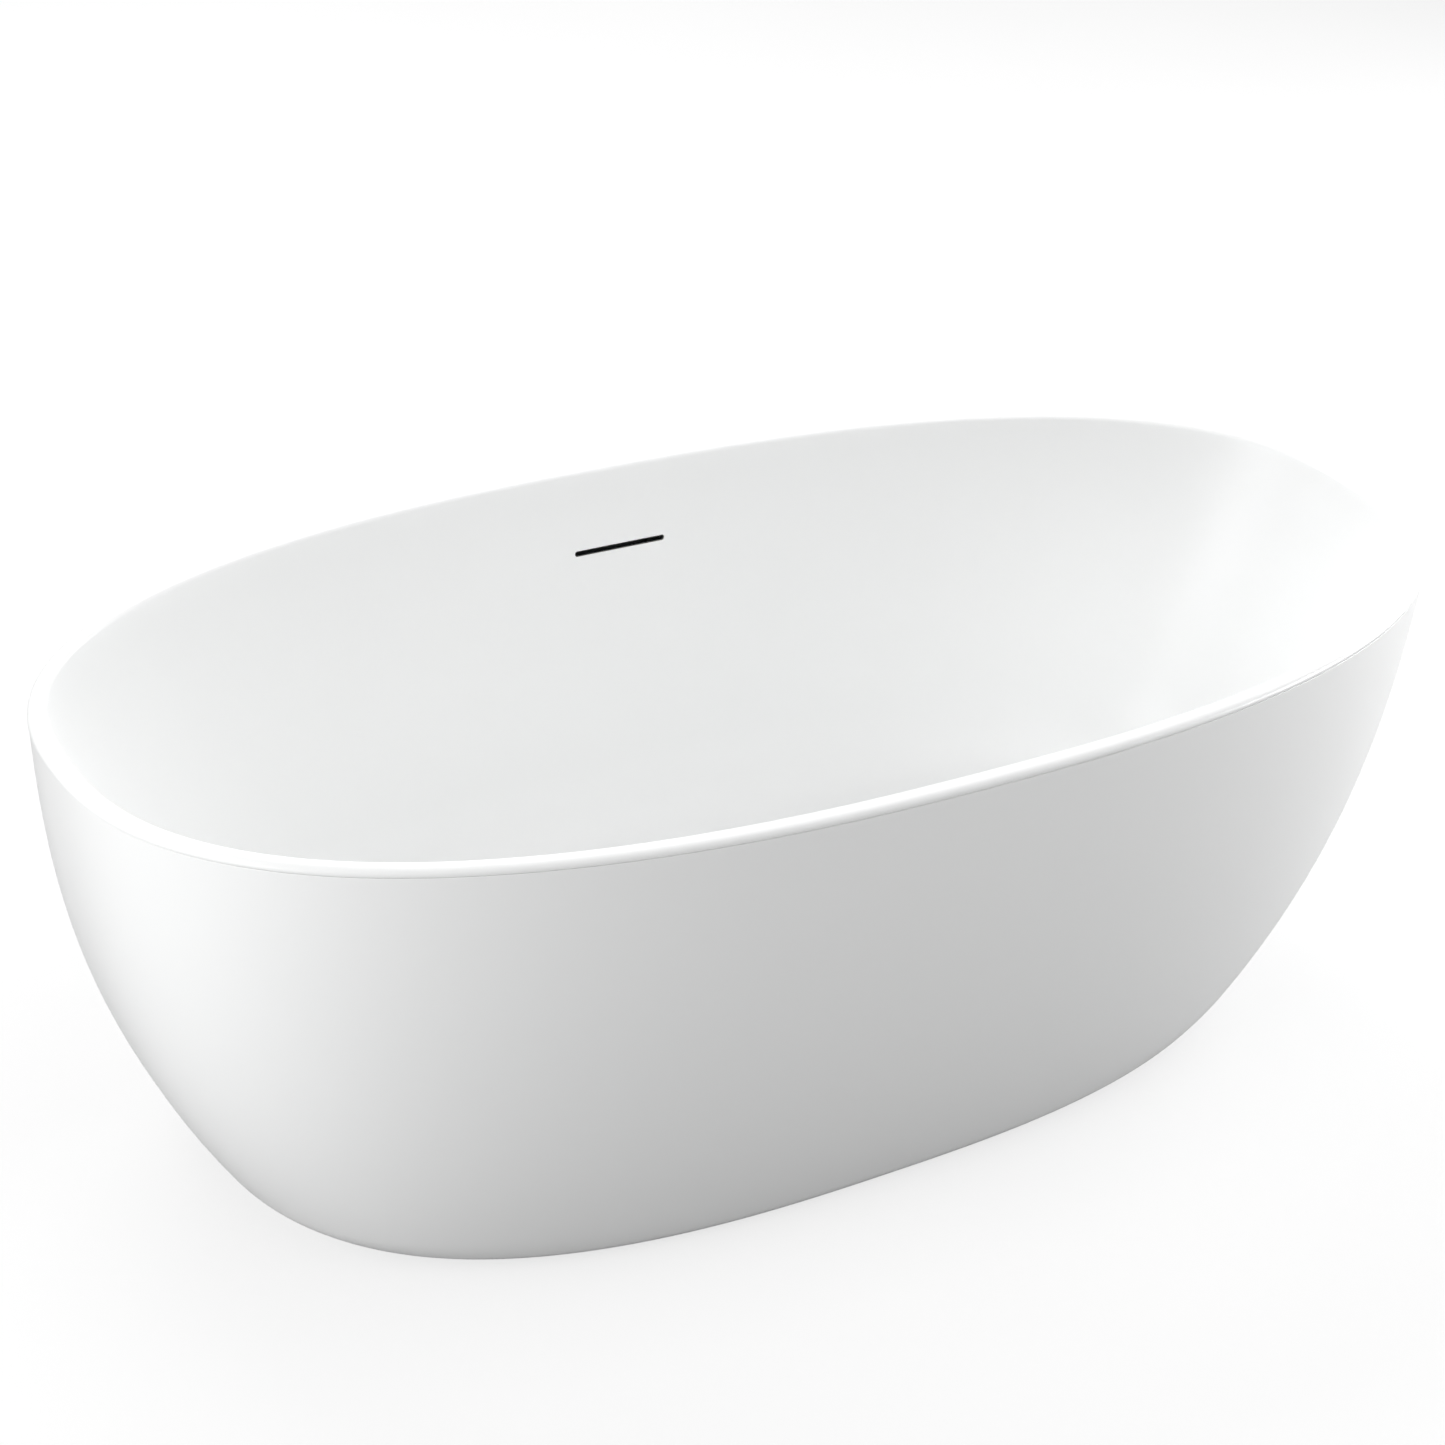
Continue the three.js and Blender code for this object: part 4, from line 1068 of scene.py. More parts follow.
@dataclass(frozen=True)
class TubSizes:
    """The sizes that more than one piece uses, in millimetres."""

    length: float = 1700.0
    width: float = 800.0
    height: float = 580.0
    gap: float = 0.3
    rim_power: float = 2.38
    well_rim_power: float = 2.44
    well_power: float = 2.6
    base_power: float = 2.64
    rim_width: float = 20.5
    rim_outer_radius: float = 6.5
    rim_inner_radius: float = 6.0
    lip_height: float = 9.0
    liner: float = 6.0
    end_lean: float = 0.38
    side_lean: float = 0.24
    end_turn: float = 170.0
    side_turn: float = 110.0
    floor_height: float = 138.0
    floor_fall: float = 2.0
    skirt: float = 5.0
    clearance: float = 3.0
    end_slope: float = 52.0
    end_sweep: float = 153.0
    end_sweep_power: float = 2.58
    side_sweep: float = 84.0
    side_sweep_power: float = 2.55
    end_base_radius: float = 56.0
    side_base_radius: float = 24.0
    base_flange: float = 30.0
    top_flange: float = 11.0
    board: float = 15.0
    tube: float = 25.0
    slot_depth: float = 96.0
    slot_length: float = 124.0
    slot_height: float = 6.2

    @property
    def edge(self) -> float:
        """Height of the floor at its outer edge."""
        return self.floor_height + self.floor_fall

    @property
    def seam(self) -> float:
        """Height of the rim's lower edge."""
        return self.height - self.lip_height

    def wall(self, half: float, lean: float, turn: float) -> Wall:
        """One wall of the well."""
        return Wall(half, lean, turn, self.height, self.rim_width, self.rim_inner_radius, self.edge)

    @property
    def end_wall(self) -> Wall:
        """The well's wall at the ends."""
        return self.wall(self.length / 2, self.end_lean, self.end_turn)

    @property
    def side_wall(self) -> Wall:
        """The well's wall at the sides."""
        return self.wall(self.width / 2, self.side_lean, self.side_turn)

    def well(self, z: float, offset: float = 0.0) -> Station:
        """The well's outline at a height, or a set distance outside it."""
        share = (z - self.edge) / (self.height - self.edge)
        power = mix(self.well_power, self.well_rim_power, share)
        return Station(self.end_wall.reach(z, offset), self.side_wall.reach(z, offset), z, power)

    def rim(self, inset: float, z: float) -> Station:
        """The rim's outline, stepped in evenly."""
        return Station(self.length / 2 - inset, self.width / 2 - inset, z, self.rim_power)

    def skirt_reach(self, z: float, end: bool) -> float:
        """Half-size of the skirt's outside at a height.

        Args:
            z: The height.
            end: Along the tub instead of across it.

        Returns:
            The half-size.
        """
        drop = 1 - z / self.height
        if end:
            wall = self.length / 2 - self.end_slope * drop - self.end_sweep * drop ** self.end_sweep_power
            radius = self.end_base_radius
        else:
            wall = self.width / 2 - self.side_sweep * drop ** self.side_sweep_power
            radius = self.side_base_radius
        low = max(radius - z, 0.0)
        return wall - radius + math.sqrt(radius ** 2 - low ** 2)

    def skirt_at(self, z: float, inward: float = 0.0) -> Station:
        """The skirt's outline at a height, or a set distance inside it."""
        halves = []
        for end in (True, False):
            reach = self.skirt_reach(z, end)
            slope = (self.skirt_reach(z + 0.5, end) - reach) / 0.5
            halves.append(reach - inward * math.hypot(1, slope))
        power = mix(self.base_power, self.rim_power, z / self.height)
        return Station(*halves, z, power)

    @property
    def board_top(self) -> float:
        """Height of the board's top."""
        return self.floor_height - self.liner - self.gap

    @property
    def board_bottom(self) -> float:
        """Height of the board's underside."""
        return self.board_top - self.board

    @property
    def rail_top(self) -> float:
        """Height of the rails' tops."""
        return self.board_bottom - self.gap

    @property
    def bar_top(self) -> float:
        """Height of the cross bars' tops."""
        return self.rail_top - self.tube - self.gap

    @property
    def bar_bottom(self) -> float:
        """Height of the cross bars' undersides."""
        return self.bar_top - self.tube

    @property
    def overflow_place(self) -> Matrix:
        """The overflow's own frame: on the far wall's face, with +Y square through the wall."""
        z = self.height - self.slot_depth
        shift = Matrix.Translation((0, self.side_wall.reach(z), z))
        return shift @ Matrix.Rotation(-math.atan(self.side_lean), 4, "X")


@dataclass
class Part:
    """One finished piece, its look, what it rides on and what it stands for."""

    piece: bpy.types.Object
    look: Look
    body: str
    nodes: tuple[str, ...]
    sharp: float = 35.0

    def dress(self) -> None:
        """Gives the piece its material where it has none, and keeps its hard edges."""
        mesh = self.piece.data
        if not mesh.materials or mesh.materials[0] is None:
            mesh.materials.clear()
            mesh.materials.append(self.look.material)
        mesh.shade_smooth()
        mesh.set_sharp_from_angle(angle=math.radians(self.sharp))

    def hand_over(self) -> None:
        """Ties the piece to its body and to the nodes that it stands for."""
        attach(self.piece, self.body)
        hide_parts(*self.nodes)
        log.info("%s: %d faces, rides on %s, for %s", self.piece.name, len(self.piece.data.polygons),
                 self.body, ", ".join(self.nodes))


@dataclass
class SubAssembly:
    """A group of pieces that are built and dressed together."""

    tub: TubSizes
    parts: list[Part] = field(default_factory=list, init=False)

    def build(self) -> None:
        """Makes the meshes."""
        raise NotImplementedError

    def keep(self, name: str, mesh: Mesh, look: Look, *nodes: str, body: str = "root",
             sharp: float = 35.0) -> Part:
        """Keeps a mesh as a named piece.

        Args:
            name: The piece's name.
            mesh: Its mesh, in place.
            look: Its finish.
            nodes: The nodes that it stands for.
            body: The body that it rides on.
            sharp: The angle in degrees past which an edge stays hard.

        Returns:
            The part.
        """
        part = Part(new_object(name, mesh), look, body, nodes, sharp)
        self.parts.append(part)
        return part

    def dress(self) -> None:
        """Gives every piece its finish."""
        for part in self.parts:
            part.dress()

    def hand_over(self) -> None:
        """Ties every piece to the frame."""
        for part in self.parts:
            part.hand_over()


# ---- The two skins ----


@dataclass
class Skins(SubAssembly):
    """The liner that holds the water, the skirt round it and the bond between them."""

    sides: int = 288
    recess_radius: float = 36.0
    recess_depth: float = 4.0
    hole_radius: float = 26.0
    small_round: float = 1.2
    recess_bands: int = 10

    def build(self) -> None:
        """Makes the three pieces."""
        self.keep("liner_skin", self.liner(), Look.ACRYLIC, "liner", sharp=40)
        self.keep("skirt_skin", self.skirt(), Look.ACRYLIC, "skirt", sharp=40)
        self.keep("rim_bond_bead", self.bond(), Look.BOND, "rim_bond")

    def rim_stations(self) -> list[Station]:
        """The lip, the outer round and the flat of the rim."""
        tub = self.tub
        top = tub.height - tub.rim_outer_radius

        def outer(share: float) -> Station:
            """One place on the outer round."""
            angle = share * math.pi / 2
            inset = tub.rim_outer_radius * (1 - math.cos(angle))
            return tub.rim(inset, top + tub.rim_outer_radius * math.sin(angle))

        lip = [tub.rim(4.0, tub.seam), tub.rim(0.9, tub.seam), tub.rim(0.25, tub.seam + 0.25),
               tub.rim(0.0, tub.seam + 0.9), tub.rim(0.0, top)]
        flat = Station(tub.end_wall.rim_reach, tub.side_wall.rim_reach, tub.height, tub.well_rim_power)
        rounded_edge = [outer(step / 9) for step in range(1, 10)]
        return [*lip, *rounded_edge, *between(rounded_edge[-1], flat, 4), flat]

    def wall_stations(self, offset: float, top: float) -> list[Station]:
        """The well's wall from a height down to the floor's edge.

        Args:
            offset: How far outside the face.
            top: The height to start from.

        Returns:
            The stations, from the top down.
        """
        tub = self.tub
        heights = [top]
        if offset == 0:
            rounds = [0.01, 0.04, 0.09, 0.16, 0.25, 0.36, 0.5, 0.66, 0.85, 1.0]
            heights = [tub.height - share * tub.rim_inner_radius for share in rounds]
        turn_top = tub.edge + tub.end_turn * (1 - tub.end_lean / math.hypot(1, tub.end_lean))
        heights += [mix(heights[-1], turn_top, step / 12) for step in range(1, 13)]
        low = tub.edge - offset
        radius = tub.end_turn + offset
        widest = math.acos(1 - (turn_top - low) / radius)
        heights += [low + radius * (1 - math.cos(widest * (1 - step / 30))) for step in range(1, 30)]
        return [tub.well(z, offset) for z in heights]

    def floor_stations(self, drop: float) -> list[Station]:
        """The floor from its edge in to the waste's recess."""
        tub = self.tub
        edge = Station(tub.end_wall.floor_reach, tub.side_wall.floor_reach, tub.edge - drop, tub.well_power)
        reach = self.recess_radius + (tub.liner if drop else self.small_round * 1.5)
        recess = Station(reach, reach, tub.floor_height - drop, 2.0)
        return [edge, *between(edge, recess, 14), recess]

    def waste_stations(self) -> list[Station]:
        """The recess, the hole and the thickened underside round them."""
        tub = self.tub
        low = tub.floor_height - self.recess_depth
        under = low - tub.liner
        outline = [
            (self.recess_radius + 3, tub.floor_height),
            (self.recess_radius, tub.floor_height),
            (self.recess_radius, low),
            (self.hole_radius, low),
            (self.hole_radius, under),
            (self.recess_radius + tub.liner, under),
            (self.recess_radius + tub.liner, tub.floor_height - tub.liner),
            (self.recess_radius + tub.liner + 6, tub.floor_height - tub.liner),
        ]
        soft = rounded(outline, self.small_round)
        inner = [point for point in soft if point not in (outline[0], outline[-1])]
        start = next(place for place, point in enumerate(inner) if abs(point[1] - tub.floor_height) < 1e-6)
        loop = inner[start:] + inner[:start]
        return [Station(r, r, z) for r, z in loop if r < self.recess_radius + tub.liner + 1]

    def liner(self) -> Mesh:
        """The liner, with the overflow's slot through its far wall."""
        tub = self.tub
        top = tub.height - tub.liner
        face = [*self.rim_stations(), *self.wall_stations(0.0, tub.height), *self.floor_stations(0.0)]
        back = list(reversed(self.wall_stations(tub.liner, top)))
        under = list(reversed(self.floor_stations(tub.liner)))
        stations = [*face, *self.waste_stations(), *under, *back, tub.rim(4.0, top)]
        mesh = self.two_faced(stations, len(face) + self.recess_bands)
        length = tub.slot_length + 2 * tub.gap
        height = tub.slot_height + 2 * tub.gap
        slot = placed(prism(stadium(length, height), -14, 20), tub.overflow_place)
        return less(mesh, slot)

    def skirt(self) -> Mesh:
        """The skirt, with its base flange and its top flange."""
        tub = self.tub
        top = tub.seam - tub.gap
        flange_top = tub.clearance + tub.skirt
        rise = tub.end_base_radius - flange_top
        rounds = [flange_top + rise * (step / 14) ** 1.6 for step in range(1, 15)]
        even = [mix(tub.end_base_radius, top - 1.2, step / 22) for step in range(1, 23)]
        base = [tub.skirt_at(tub.clearance + step) for step in (0, 0.6, 1.4, 2.4, 3.6)]
        edge = [tub.skirt_at(z) for z in (flange_top, *rounds, *even)]
        lip = [tub.skirt_at(top - 0.5), self.stepped(tub.skirt_at(top - 0.12), 0.15),
               self.stepped(tub.skirt_at(top), 0.55)]
        outside = [*base, *edge, *lip]
        high = tub.skirt_at(top)
        inner_top = Station(high.a - tub.top_flange, high.b - tub.top_flange, top, tub.well_rim_power)
        inner_low = Station(inner_top.a, inner_top.b, top - tub.skirt, tub.well_rim_power)
        heights = (top - tub.skirt, *reversed(even[2:-1]), *reversed(rounds))
        inside = [tub.skirt_at(z, tub.skirt) for z in heights]
        low = tub.skirt_at(tub.clearance)
        flange = [Station(low.a - tub.base_flange, low.b - tub.base_flange, z, tub.base_power)
                  for z in (flange_top, tub.clearance)]
        stations = [*outside, inner_top, inner_low, *inside, tub.skirt_at(flange_top, tub.skirt), *flange]
        return self.two_faced(stations, len(outside))

    def two_faced(self, stations: Sequence[Station], front_rows: int) -> Mesh:
        """Sweeps a skin that is gloss in front and bare fibre behind."""
        face, back = Look.ACRYLIC.material, Look.FIBRE_BACK.material
        return swept(stations, self.sides, Face=face, Back=back, Front_Rows=front_rows)

    @staticmethod
    def stepped(station: Station, inset: float) -> Station:
        """A station moved in evenly."""
        return Station(station.a - inset, station.b - inset, station.z, station.power)

    def bond(self) -> Mesh:
        """The bead of adhesive under the rim."""
        tub = self.tub
        low = tub.seam
        high = tub.height - tub.liner - tub.gap
        outer = tub.rim(4.0 + tub.gap, low)
        inner = tub.rim(tub.top_flange, low)
        middle = (low + high) / 2
        stations = [
            Station(inner.a, inner.b, low, tub.well_rim_power),
            Station(outer.a - 0.8, outer.b - 0.8, low, tub.rim_power),
            Station(outer.a, outer.b, middle, tub.rim_power),
            Station(outer.a - 0.8, outer.b - 0.8, high, tub.rim_power),
            Station(inner.a, inner.b, high, tub.well_rim_power),
            Station(inner.a + 0.7, inner.b + 0.7, middle, tub.well_rim_power),
        ]
        return swept(stations, 160)


# ---- Board and frame ----


def hexagon_ring(flats: float, z: float, limit: float, steps: int = 48) -> list[Point3]:
    """A hexagon whose corners are ground off at a radius.

    Args:
        flats: Distance across the flats.
        z: Its height.
        limit: The radius that the corners are ground to.
        steps: Points round it, a multiple of 6.

    Returns:
        The points.
    """
    points = []
    for step in range(steps):
        angle = step / steps * math.tau
        within = (angle + math.pi / 6) % (math.pi / 3) - math.pi / 6
        reach = min(flats / 2 / math.cos(math.pi / 6 - abs(within)), limit)
        points.append((reach * math.cos(angle), reach * math.sin(angle), z))
    return points


def lofted(rings: Sequence[Sequence[Point3]], looped: bool = False) -> Mesh:
    """Joins rings of points with faces, and closes the ends.

    Args:
        rings: The rings, with the same number of points in each.
        looped: Joins the last ring to the first instead.

    Returns:
        A closed mesh.
    """
    count = len(rings[0])
    points = [point for ring in rings for point in ring]
    faces: list[Sequence[int]] = []
    pairs = len(rings) if looped else len(rings) - 1
    for row in range(pairs):
        after = (row + 1) % len(rings)
        for place in range(count):
            beside = (place + 1) % count
            near, far = row * count, after * count
            faces.append((near + place, near + beside, far + beside, far + place))
    if not looped:
        faces.append(tuple(range(count)))
        faces.append(tuple(range((len(rings) - 1) * count, len(rings) * count)))
    return faced_outward(mesh_from(points, faces))


def nut_mesh(flats: float, height: float, bore: float) -> Mesh:
    """A hexagon nut with chamfered corners and a countersunk bore, standing on z = 0."""
    corner = flats / math.sqrt(3)
    ground = flats / 2 * 0.97
    chamfer = (corner - ground) * 0.5
    sink = 0.8
    steps = 48
    rings = []
    for share in (0.0, 0.5, 1.0):
        rings.append(hexagon_ring(flats, chamfer * share, mix(ground, corner, share), steps))
    for share in (1.0, 0.5, 0.0):
        rings.append(hexagon_ring(flats, height - chamfer * share, mix(ground, corner, share), steps))
    for radius, z in ((bore + sink, height), (bore, height - sink), (bore, sink), (bore + sink, 0.0)):
        rings.append(circle(radius, z, steps))
    return lofted(rings, looped=True)


def threaded(sides: int, radius: float, depth: float, pitch: float, low: float, high: float) -> Mesh:
    """A threaded bar about Z.

    Args:
        sides: Steps round the bar.
        radius: Its radius over the thread.
        depth: How deep the thread is cut.
        pitch: The rise of one turn.
        low: Its lower end.
        high: Its upper end.

    Returns:
        A closed mesh.
    """
    return faced_outward(grown(
        Tree.THREAD, mesh_from([(0, 0, 0)]), Sides=sides, Radius=radius * MM, Depth=depth * MM,
        Pitch=pitch * MM, Low=low * MM, High=high * MM,
    ))


def set_out(pattern: Mesh, places: Sequence[tuple[Point3, float]]) -> Mesh:
    """Repeats a shape at places, each turned about Z.

    Args:
        pattern: The shape, which is used up.
        places: Each place, and its turn in radians.

    Returns:
        One mesh with all of them.
    """
    maker = new_object("pattern", pattern)
    points = mesh_from([spot for spot, _ in places])
    turn = points.attributes.new("turn", "FLOAT_VECTOR", "POINT")
    turn.data.foreach_set("vector", [part for _, angle in places for part in (0.0, 0.0, angle)])
    mesh = grown(Tree.LAYOUT, points, Pattern=maker)
    bpy.data.objects.remove(maker)
    bpy.data.meshes.remove(pattern)
    return mesh


@dataclass
class Frame(SubAssembly):
    """The board under the well, and the steel rails and bars that carry it."""

    end_inset: float = 46.0
    side_inset: float = 10.0
    hole_radius: float = 45.0
    rail_pitch: float = 150.0
    rail_inset: float = 70.0
    foot_end_inset: float = 170.0
    foot_side_inset: float = 9.0
    overhang: float = 45.0
    tube_wall: float = 2.0
    stud_hole: float = 6.4
    hole_span: tuple[float, float] = (40.0, 110.0)
    screw_offset: float = 60.0
    screw_head: float = 6.5
    screw_height: float = 4.0
    screw_radius: float = 3.0
    bite: float = 11.0

    @property
    def half_length(self) -> float:
        """Half the board's length."""
        return self.tub.end_wall.floor_reach - self.end_inset

    @property
    def half_width(self) -> float:
        """Half the board's width."""
        return self.tub.side_wall.floor_reach - self.side_inset

    @property
    def foot_x(self) -> float:
        """How far along the tub the feet stand."""
        return self.half_length - self.foot_end_inset

    @property
    def foot_y(self) -> float:
        """How far across the tub the feet stand."""
        return self.half_width - self.foot_side_inset

    @property
    def bar_half(self) -> float:
        """Half a cross bar's length."""
        return self.foot_y + self.overhang

    def build(self) -> None:
        """Makes the board, the rails, the bars and their screws."""
        self.keep("base_board_panel", self.board(), Look.BOARD, "base_board")
        rail = self.half_length - self.rail_inset
        level = self.tub.rail_top - self.tub.tube / 2
        for name, side in (("near", -1), ("far", 1)):
            mesh = placed(self.square_tube(rail), Matrix.Translation((0, side * self.rail_pitch / 2, level)))
            self.keep(f"rail_tube_{name}", mesh, Look.TUBE, f"rail_{name}")
        level = self.tub.bar_top - self.tub.tube / 2
        for name, end in (("left", -1), ("right", 1)):
            spot = Matrix.Translation((end * self.foot_x, 0, level)) @ Matrix.Rotation(math.pi / 2, 4, "Z")
            mesh = less(placed(self.square_tube(self.bar_half), spot), *self.stud_holes(end))
            self.keep(f"cross_bar_tube_{name}", mesh, Look.TUBE, f"cross_bar_{name}")
        self.screws()

    def stud_holes(self, end: int) -> list[Mesh]:
        """The holes for the studs through one bar."""
        holes = []
        for side in (-1, 1):
            x, y = end * self.foot_x, side * self.foot_y
            holes.append(lofted([circle(self.stud_hole, z, 32, x, y) for z in self.hole_span]))
        return holes

    def board(self) -> Mesh:
        """The board, with a hole for the waste and its top and bottom edges eased."""
        low, high, ease = self.tub.board_bottom, self.tub.board_top, 0.8
        eased = [(ease, low), (0.0, low + ease), (0.0, high - ease), (ease, high)]
        half_x, half_y, hole = self.half_length, self.half_width, self.hole_radius
        outer = [Station(half_x - inset, half_y - inset, z, self.tub.well_power) for inset, z in eased]
        hole = [Station(hole + inset, hole + inset, z) for inset, z in reversed(eased)]
        return swept([*outer, *hole], 128)

    def square_tube(self, half: float) -> Mesh:
        """A rolled square tube with round corners, along X and centred on the origin."""
        outer = self.tub.tube / 2
        inner = outer - self.tube_wall

        def ring(x: float, reach: float, radius: float) -> list[Point3]:
            """The square with its round corners, at one place along the tube."""
            corners = [(-reach, -reach), (reach, -reach), (reach, reach), (-reach, reach)]
            return [(x, y, z) for y, z in rounded(corners, radius, 5, range(4))]

        rings = [ring(-half, outer - 0.3, 3.0), ring(-half + 0.3, outer, 3.2), ring(half - 0.3, outer, 3.2),
                 ring(half, outer - 0.3, 3.0), ring(half, inner, 1.6), ring(-half, inner, 1.6)]
        return lofted(rings, looped=True)

    def screw(self, length: float) -> Mesh:
        """A hexagon-headed screw with a pressed washer face, its head below z = 0."""
        low = -self.screw_height - self.tub.gap
        flats = self.screw_head * math.sqrt(3) * 0.88
        head = lofted([
            hexagon_ring(flats, low, flats * 0.47), hexagon_ring(flats, low + 0.5, flats * 0.56),
            hexagon_ring(flats, -1.2, 99.0),
        ])
        washer = turned(ring_outline(0, self.screw_head, -1.4, -0.3), 32, 0.4)
        return joined([head, washer, threaded(16, self.screw_radius, 0.5, 2.0, -1.0, length)])

    def screws(self) -> None:
        """The screws up through the bars and rails into the board."""
        places = {"bar": [], "rail": []}
        names = {"bar": [], "rail": []}
        number = 0
        for side in (-1, 1):
            for x in (-self.foot_x, self.screw_offset, self.foot_x):
                number += 1
                kind = "rail" if x == self.screw_offset else "bar"
                low = self.tub.rail_top - self.tub.tube if kind == "rail" else self.tub.bar_bottom
                places[kind].append(((x, side * self.rail_pitch / 2, low), number * 0.7))
                names[kind].append(f"frame_screw_{number}")
        for kind, spots in places.items():
            length = self.tub.board_bottom + self.bite - spots[0][0][2]
            mesh = set_out(self.screw(length), spots)
            self.keep(f"frame_screws_{kind}", mesh, Look.ZINC, *names[kind])


# ---- Feet ----


def four_of(kind: str) -> list[str]:
    """The numbered names of four nodes."""
    return [f"{kind}_{number}" for number in range(1, 5)]


@dataclass
class Feet(SubAssembly):
    """The levelling feet and the brackets that hold the skirt."""

    stud_radius: float = 6.0
    thread_depth: float = 0.95
    pitch: float = 1.75
    play: float = 0.4
    proud: float = 8.0
    flats: float = 19.0
    nut_height: float = 9.5
    pad_radius: float = 25.0
    pad_edge: float = 8.0
    boss_radius: float = 11.0
    pad_height: float = 20.0
    pad_floor: float = 6.0
    strap_width: float = 25.0
    strap: float = 3.0
    tab: float = 26.0
    grip: float = 24.0
    pan_radius: float = 4.5
    pan_shank: float = 2.0

    def build(self) -> None:
        """Makes the pads, studs, nuts, brackets and their screws."""
        frame = Frame(self.tub)
        spots = [(end * frame.foot_x, side * frame.foot_y) for end in (-1, 1) for side in (-1, 1)]
        for number, (x, y) in enumerate(spots, 1):
            place = Matrix.Translation((x, y, 0))
            self.keep(f"foot_pad_moulding_{number}", placed(self.pad(), place), Look.FOOT,
                      f"foot_pad_{number}", body=f"foot_{number}")
            self.keep(f"foot_thread_{number}", placed(self.stud(), place), Look.ZINC,
                      f"foot_stud_{number}", body=f"stud_{number}")
        for kind, z in (("weld", self.tub.bar_top + self.tub.gap),
                        ("lock", self.tub.bar_bottom - self.tub.gap - self.nut_height)):
            places = [((x, y, z), 0.0) for x, y in spots]
            nut = nut_mesh(self.flats, self.nut_height, self.stud_radius + self.play)
            self.keep(f"{kind}_nuts", set_out(nut, places), Look.ZINC, *four_of(f"{kind}_nut"))
        flange_y = self.flange_reach(frame.foot_x)
        straps = [((x, 0.0, 0.0), 0.0 if y > 0 else math.pi) for x, y in spots]
        bracket = self.bracket(frame.bar_half, flange_y)
        self.keep("skirt_brackets", set_out(bracket, straps), Look.TUBE, *four_of("skirt_bracket"))
        level = self.tub.clearance + self.tub.skirt + self.tub.gap + self.strap
        reach = flange_y + self.grip / 2
        screws = [((x, math.copysign(reach, y), level), 0.4 * number) for number, (x, y) in enumerate(spots)]
        pan_screws = set_out(self.pan_screw(level), screws)
        self.keep("skirt_screws", pan_screws, Look.ZINC, *four_of("skirt_screw"))

    def flange_reach(self, x: float) -> float:
        """Half-width of the base flange's inner edge at a place along the tub."""
        low = self.tub.skirt_at(self.tub.clearance)
        a, b = low.a - self.tub.base_flange, low.b - self.tub.base_flange
        return b * (1 - (x / a) ** self.tub.base_power) ** (1 / self.tub.base_power)

    def pad(self) -> Mesh:
        """A moulded pad with a ribbed skirt and a socket for the stud."""
        bore = self.stud_radius + self.play
        body = turned([
            (0, 0), (self.pad_radius, 0), (self.pad_radius, self.pad_edge),
            (self.boss_radius + 2, self.pad_edge + 3), (self.boss_radius, self.pad_height),
            (bore, self.pad_height), (bore, self.pad_floor), (0, self.pad_floor),
        ], 64, 1.6)
        rib = prism([
            (self.boss_radius - 1, self.pad_edge), (self.pad_radius - 2, self.pad_edge - 1),
            (self.pad_radius - 2.5, self.pad_edge + 0.4), (self.boss_radius + 0.3, self.pad_height - 4),
            (self.boss_radius - 1, self.pad_height - 4),
        ], -1.0, 1.0)
        ribs = grown(Tree.ROUND, softened(rib, 0.3, 1), Count=8)
        return joined([body, ribs])

    def stud(self) -> Mesh:
        """A threaded stud."""
        low = self.pad_floor + self.tub.gap
        high = self.tub.bar_top + self.nut_height + self.proud
        return threaded(24, self.stud_radius, self.thread_depth, self.pitch, low, high)

    def bracket(self, bar_half: float, flange_y: float) -> Mesh:
        """A bent strap from under a bar's end to the skirt's base flange, across the YZ plane."""
        low = self.tub.clearance + self.tub.skirt + self.tub.gap
        high = self.tub.bar_bottom - self.tub.gap
        web = bar_half + self.strap
        bends = [
            (bar_half - self.tab, high - self.strap), (web - self.strap, high - self.strap),
            (flange_y - 8, low), (flange_y + self.grip, low), (flange_y + self.grip, low + self.strap),
            (flange_y - 8 + self.strap, low + self.strap), (web, high), (bar_half - self.tab, high),
        ]
        bent = rounded(bends, 3.5, 4, (1, 2, 5, 6))
        strap = softened(prism(bent, -self.strap_width / 2, self.strap_width / 2), 0.35, 1)
        return placed(strap, Matrix.Rotation(math.pi / 2, 4, "Z"))

    def pan_screw(self, level: float) -> Mesh:
        """A pan-headed screw with a cross recess, its head standing on z = 0."""
        gap = self.tub.gap
        tip = self.tub.clearance + gap - level
        head = turned([(0, gap), (self.pan_radius, gap), (self.pan_radius, gap + 1.4),
                       (self.pan_radius - 1.5, gap + 2.8), (0, gap + 2.8)], 32, 0.6)
        arms = [slab((-x, -y, gap + 1.6), (x, y, gap + 4)) for x, y in ((2.4, 0.45), (0.45, 2.4))]
        head = less(head, *arms)
        return joined([head, turned(ring_outline(0, self.pan_shank, tip, gap + 0.5), 24, 0.5)])


# ---- Waste ----


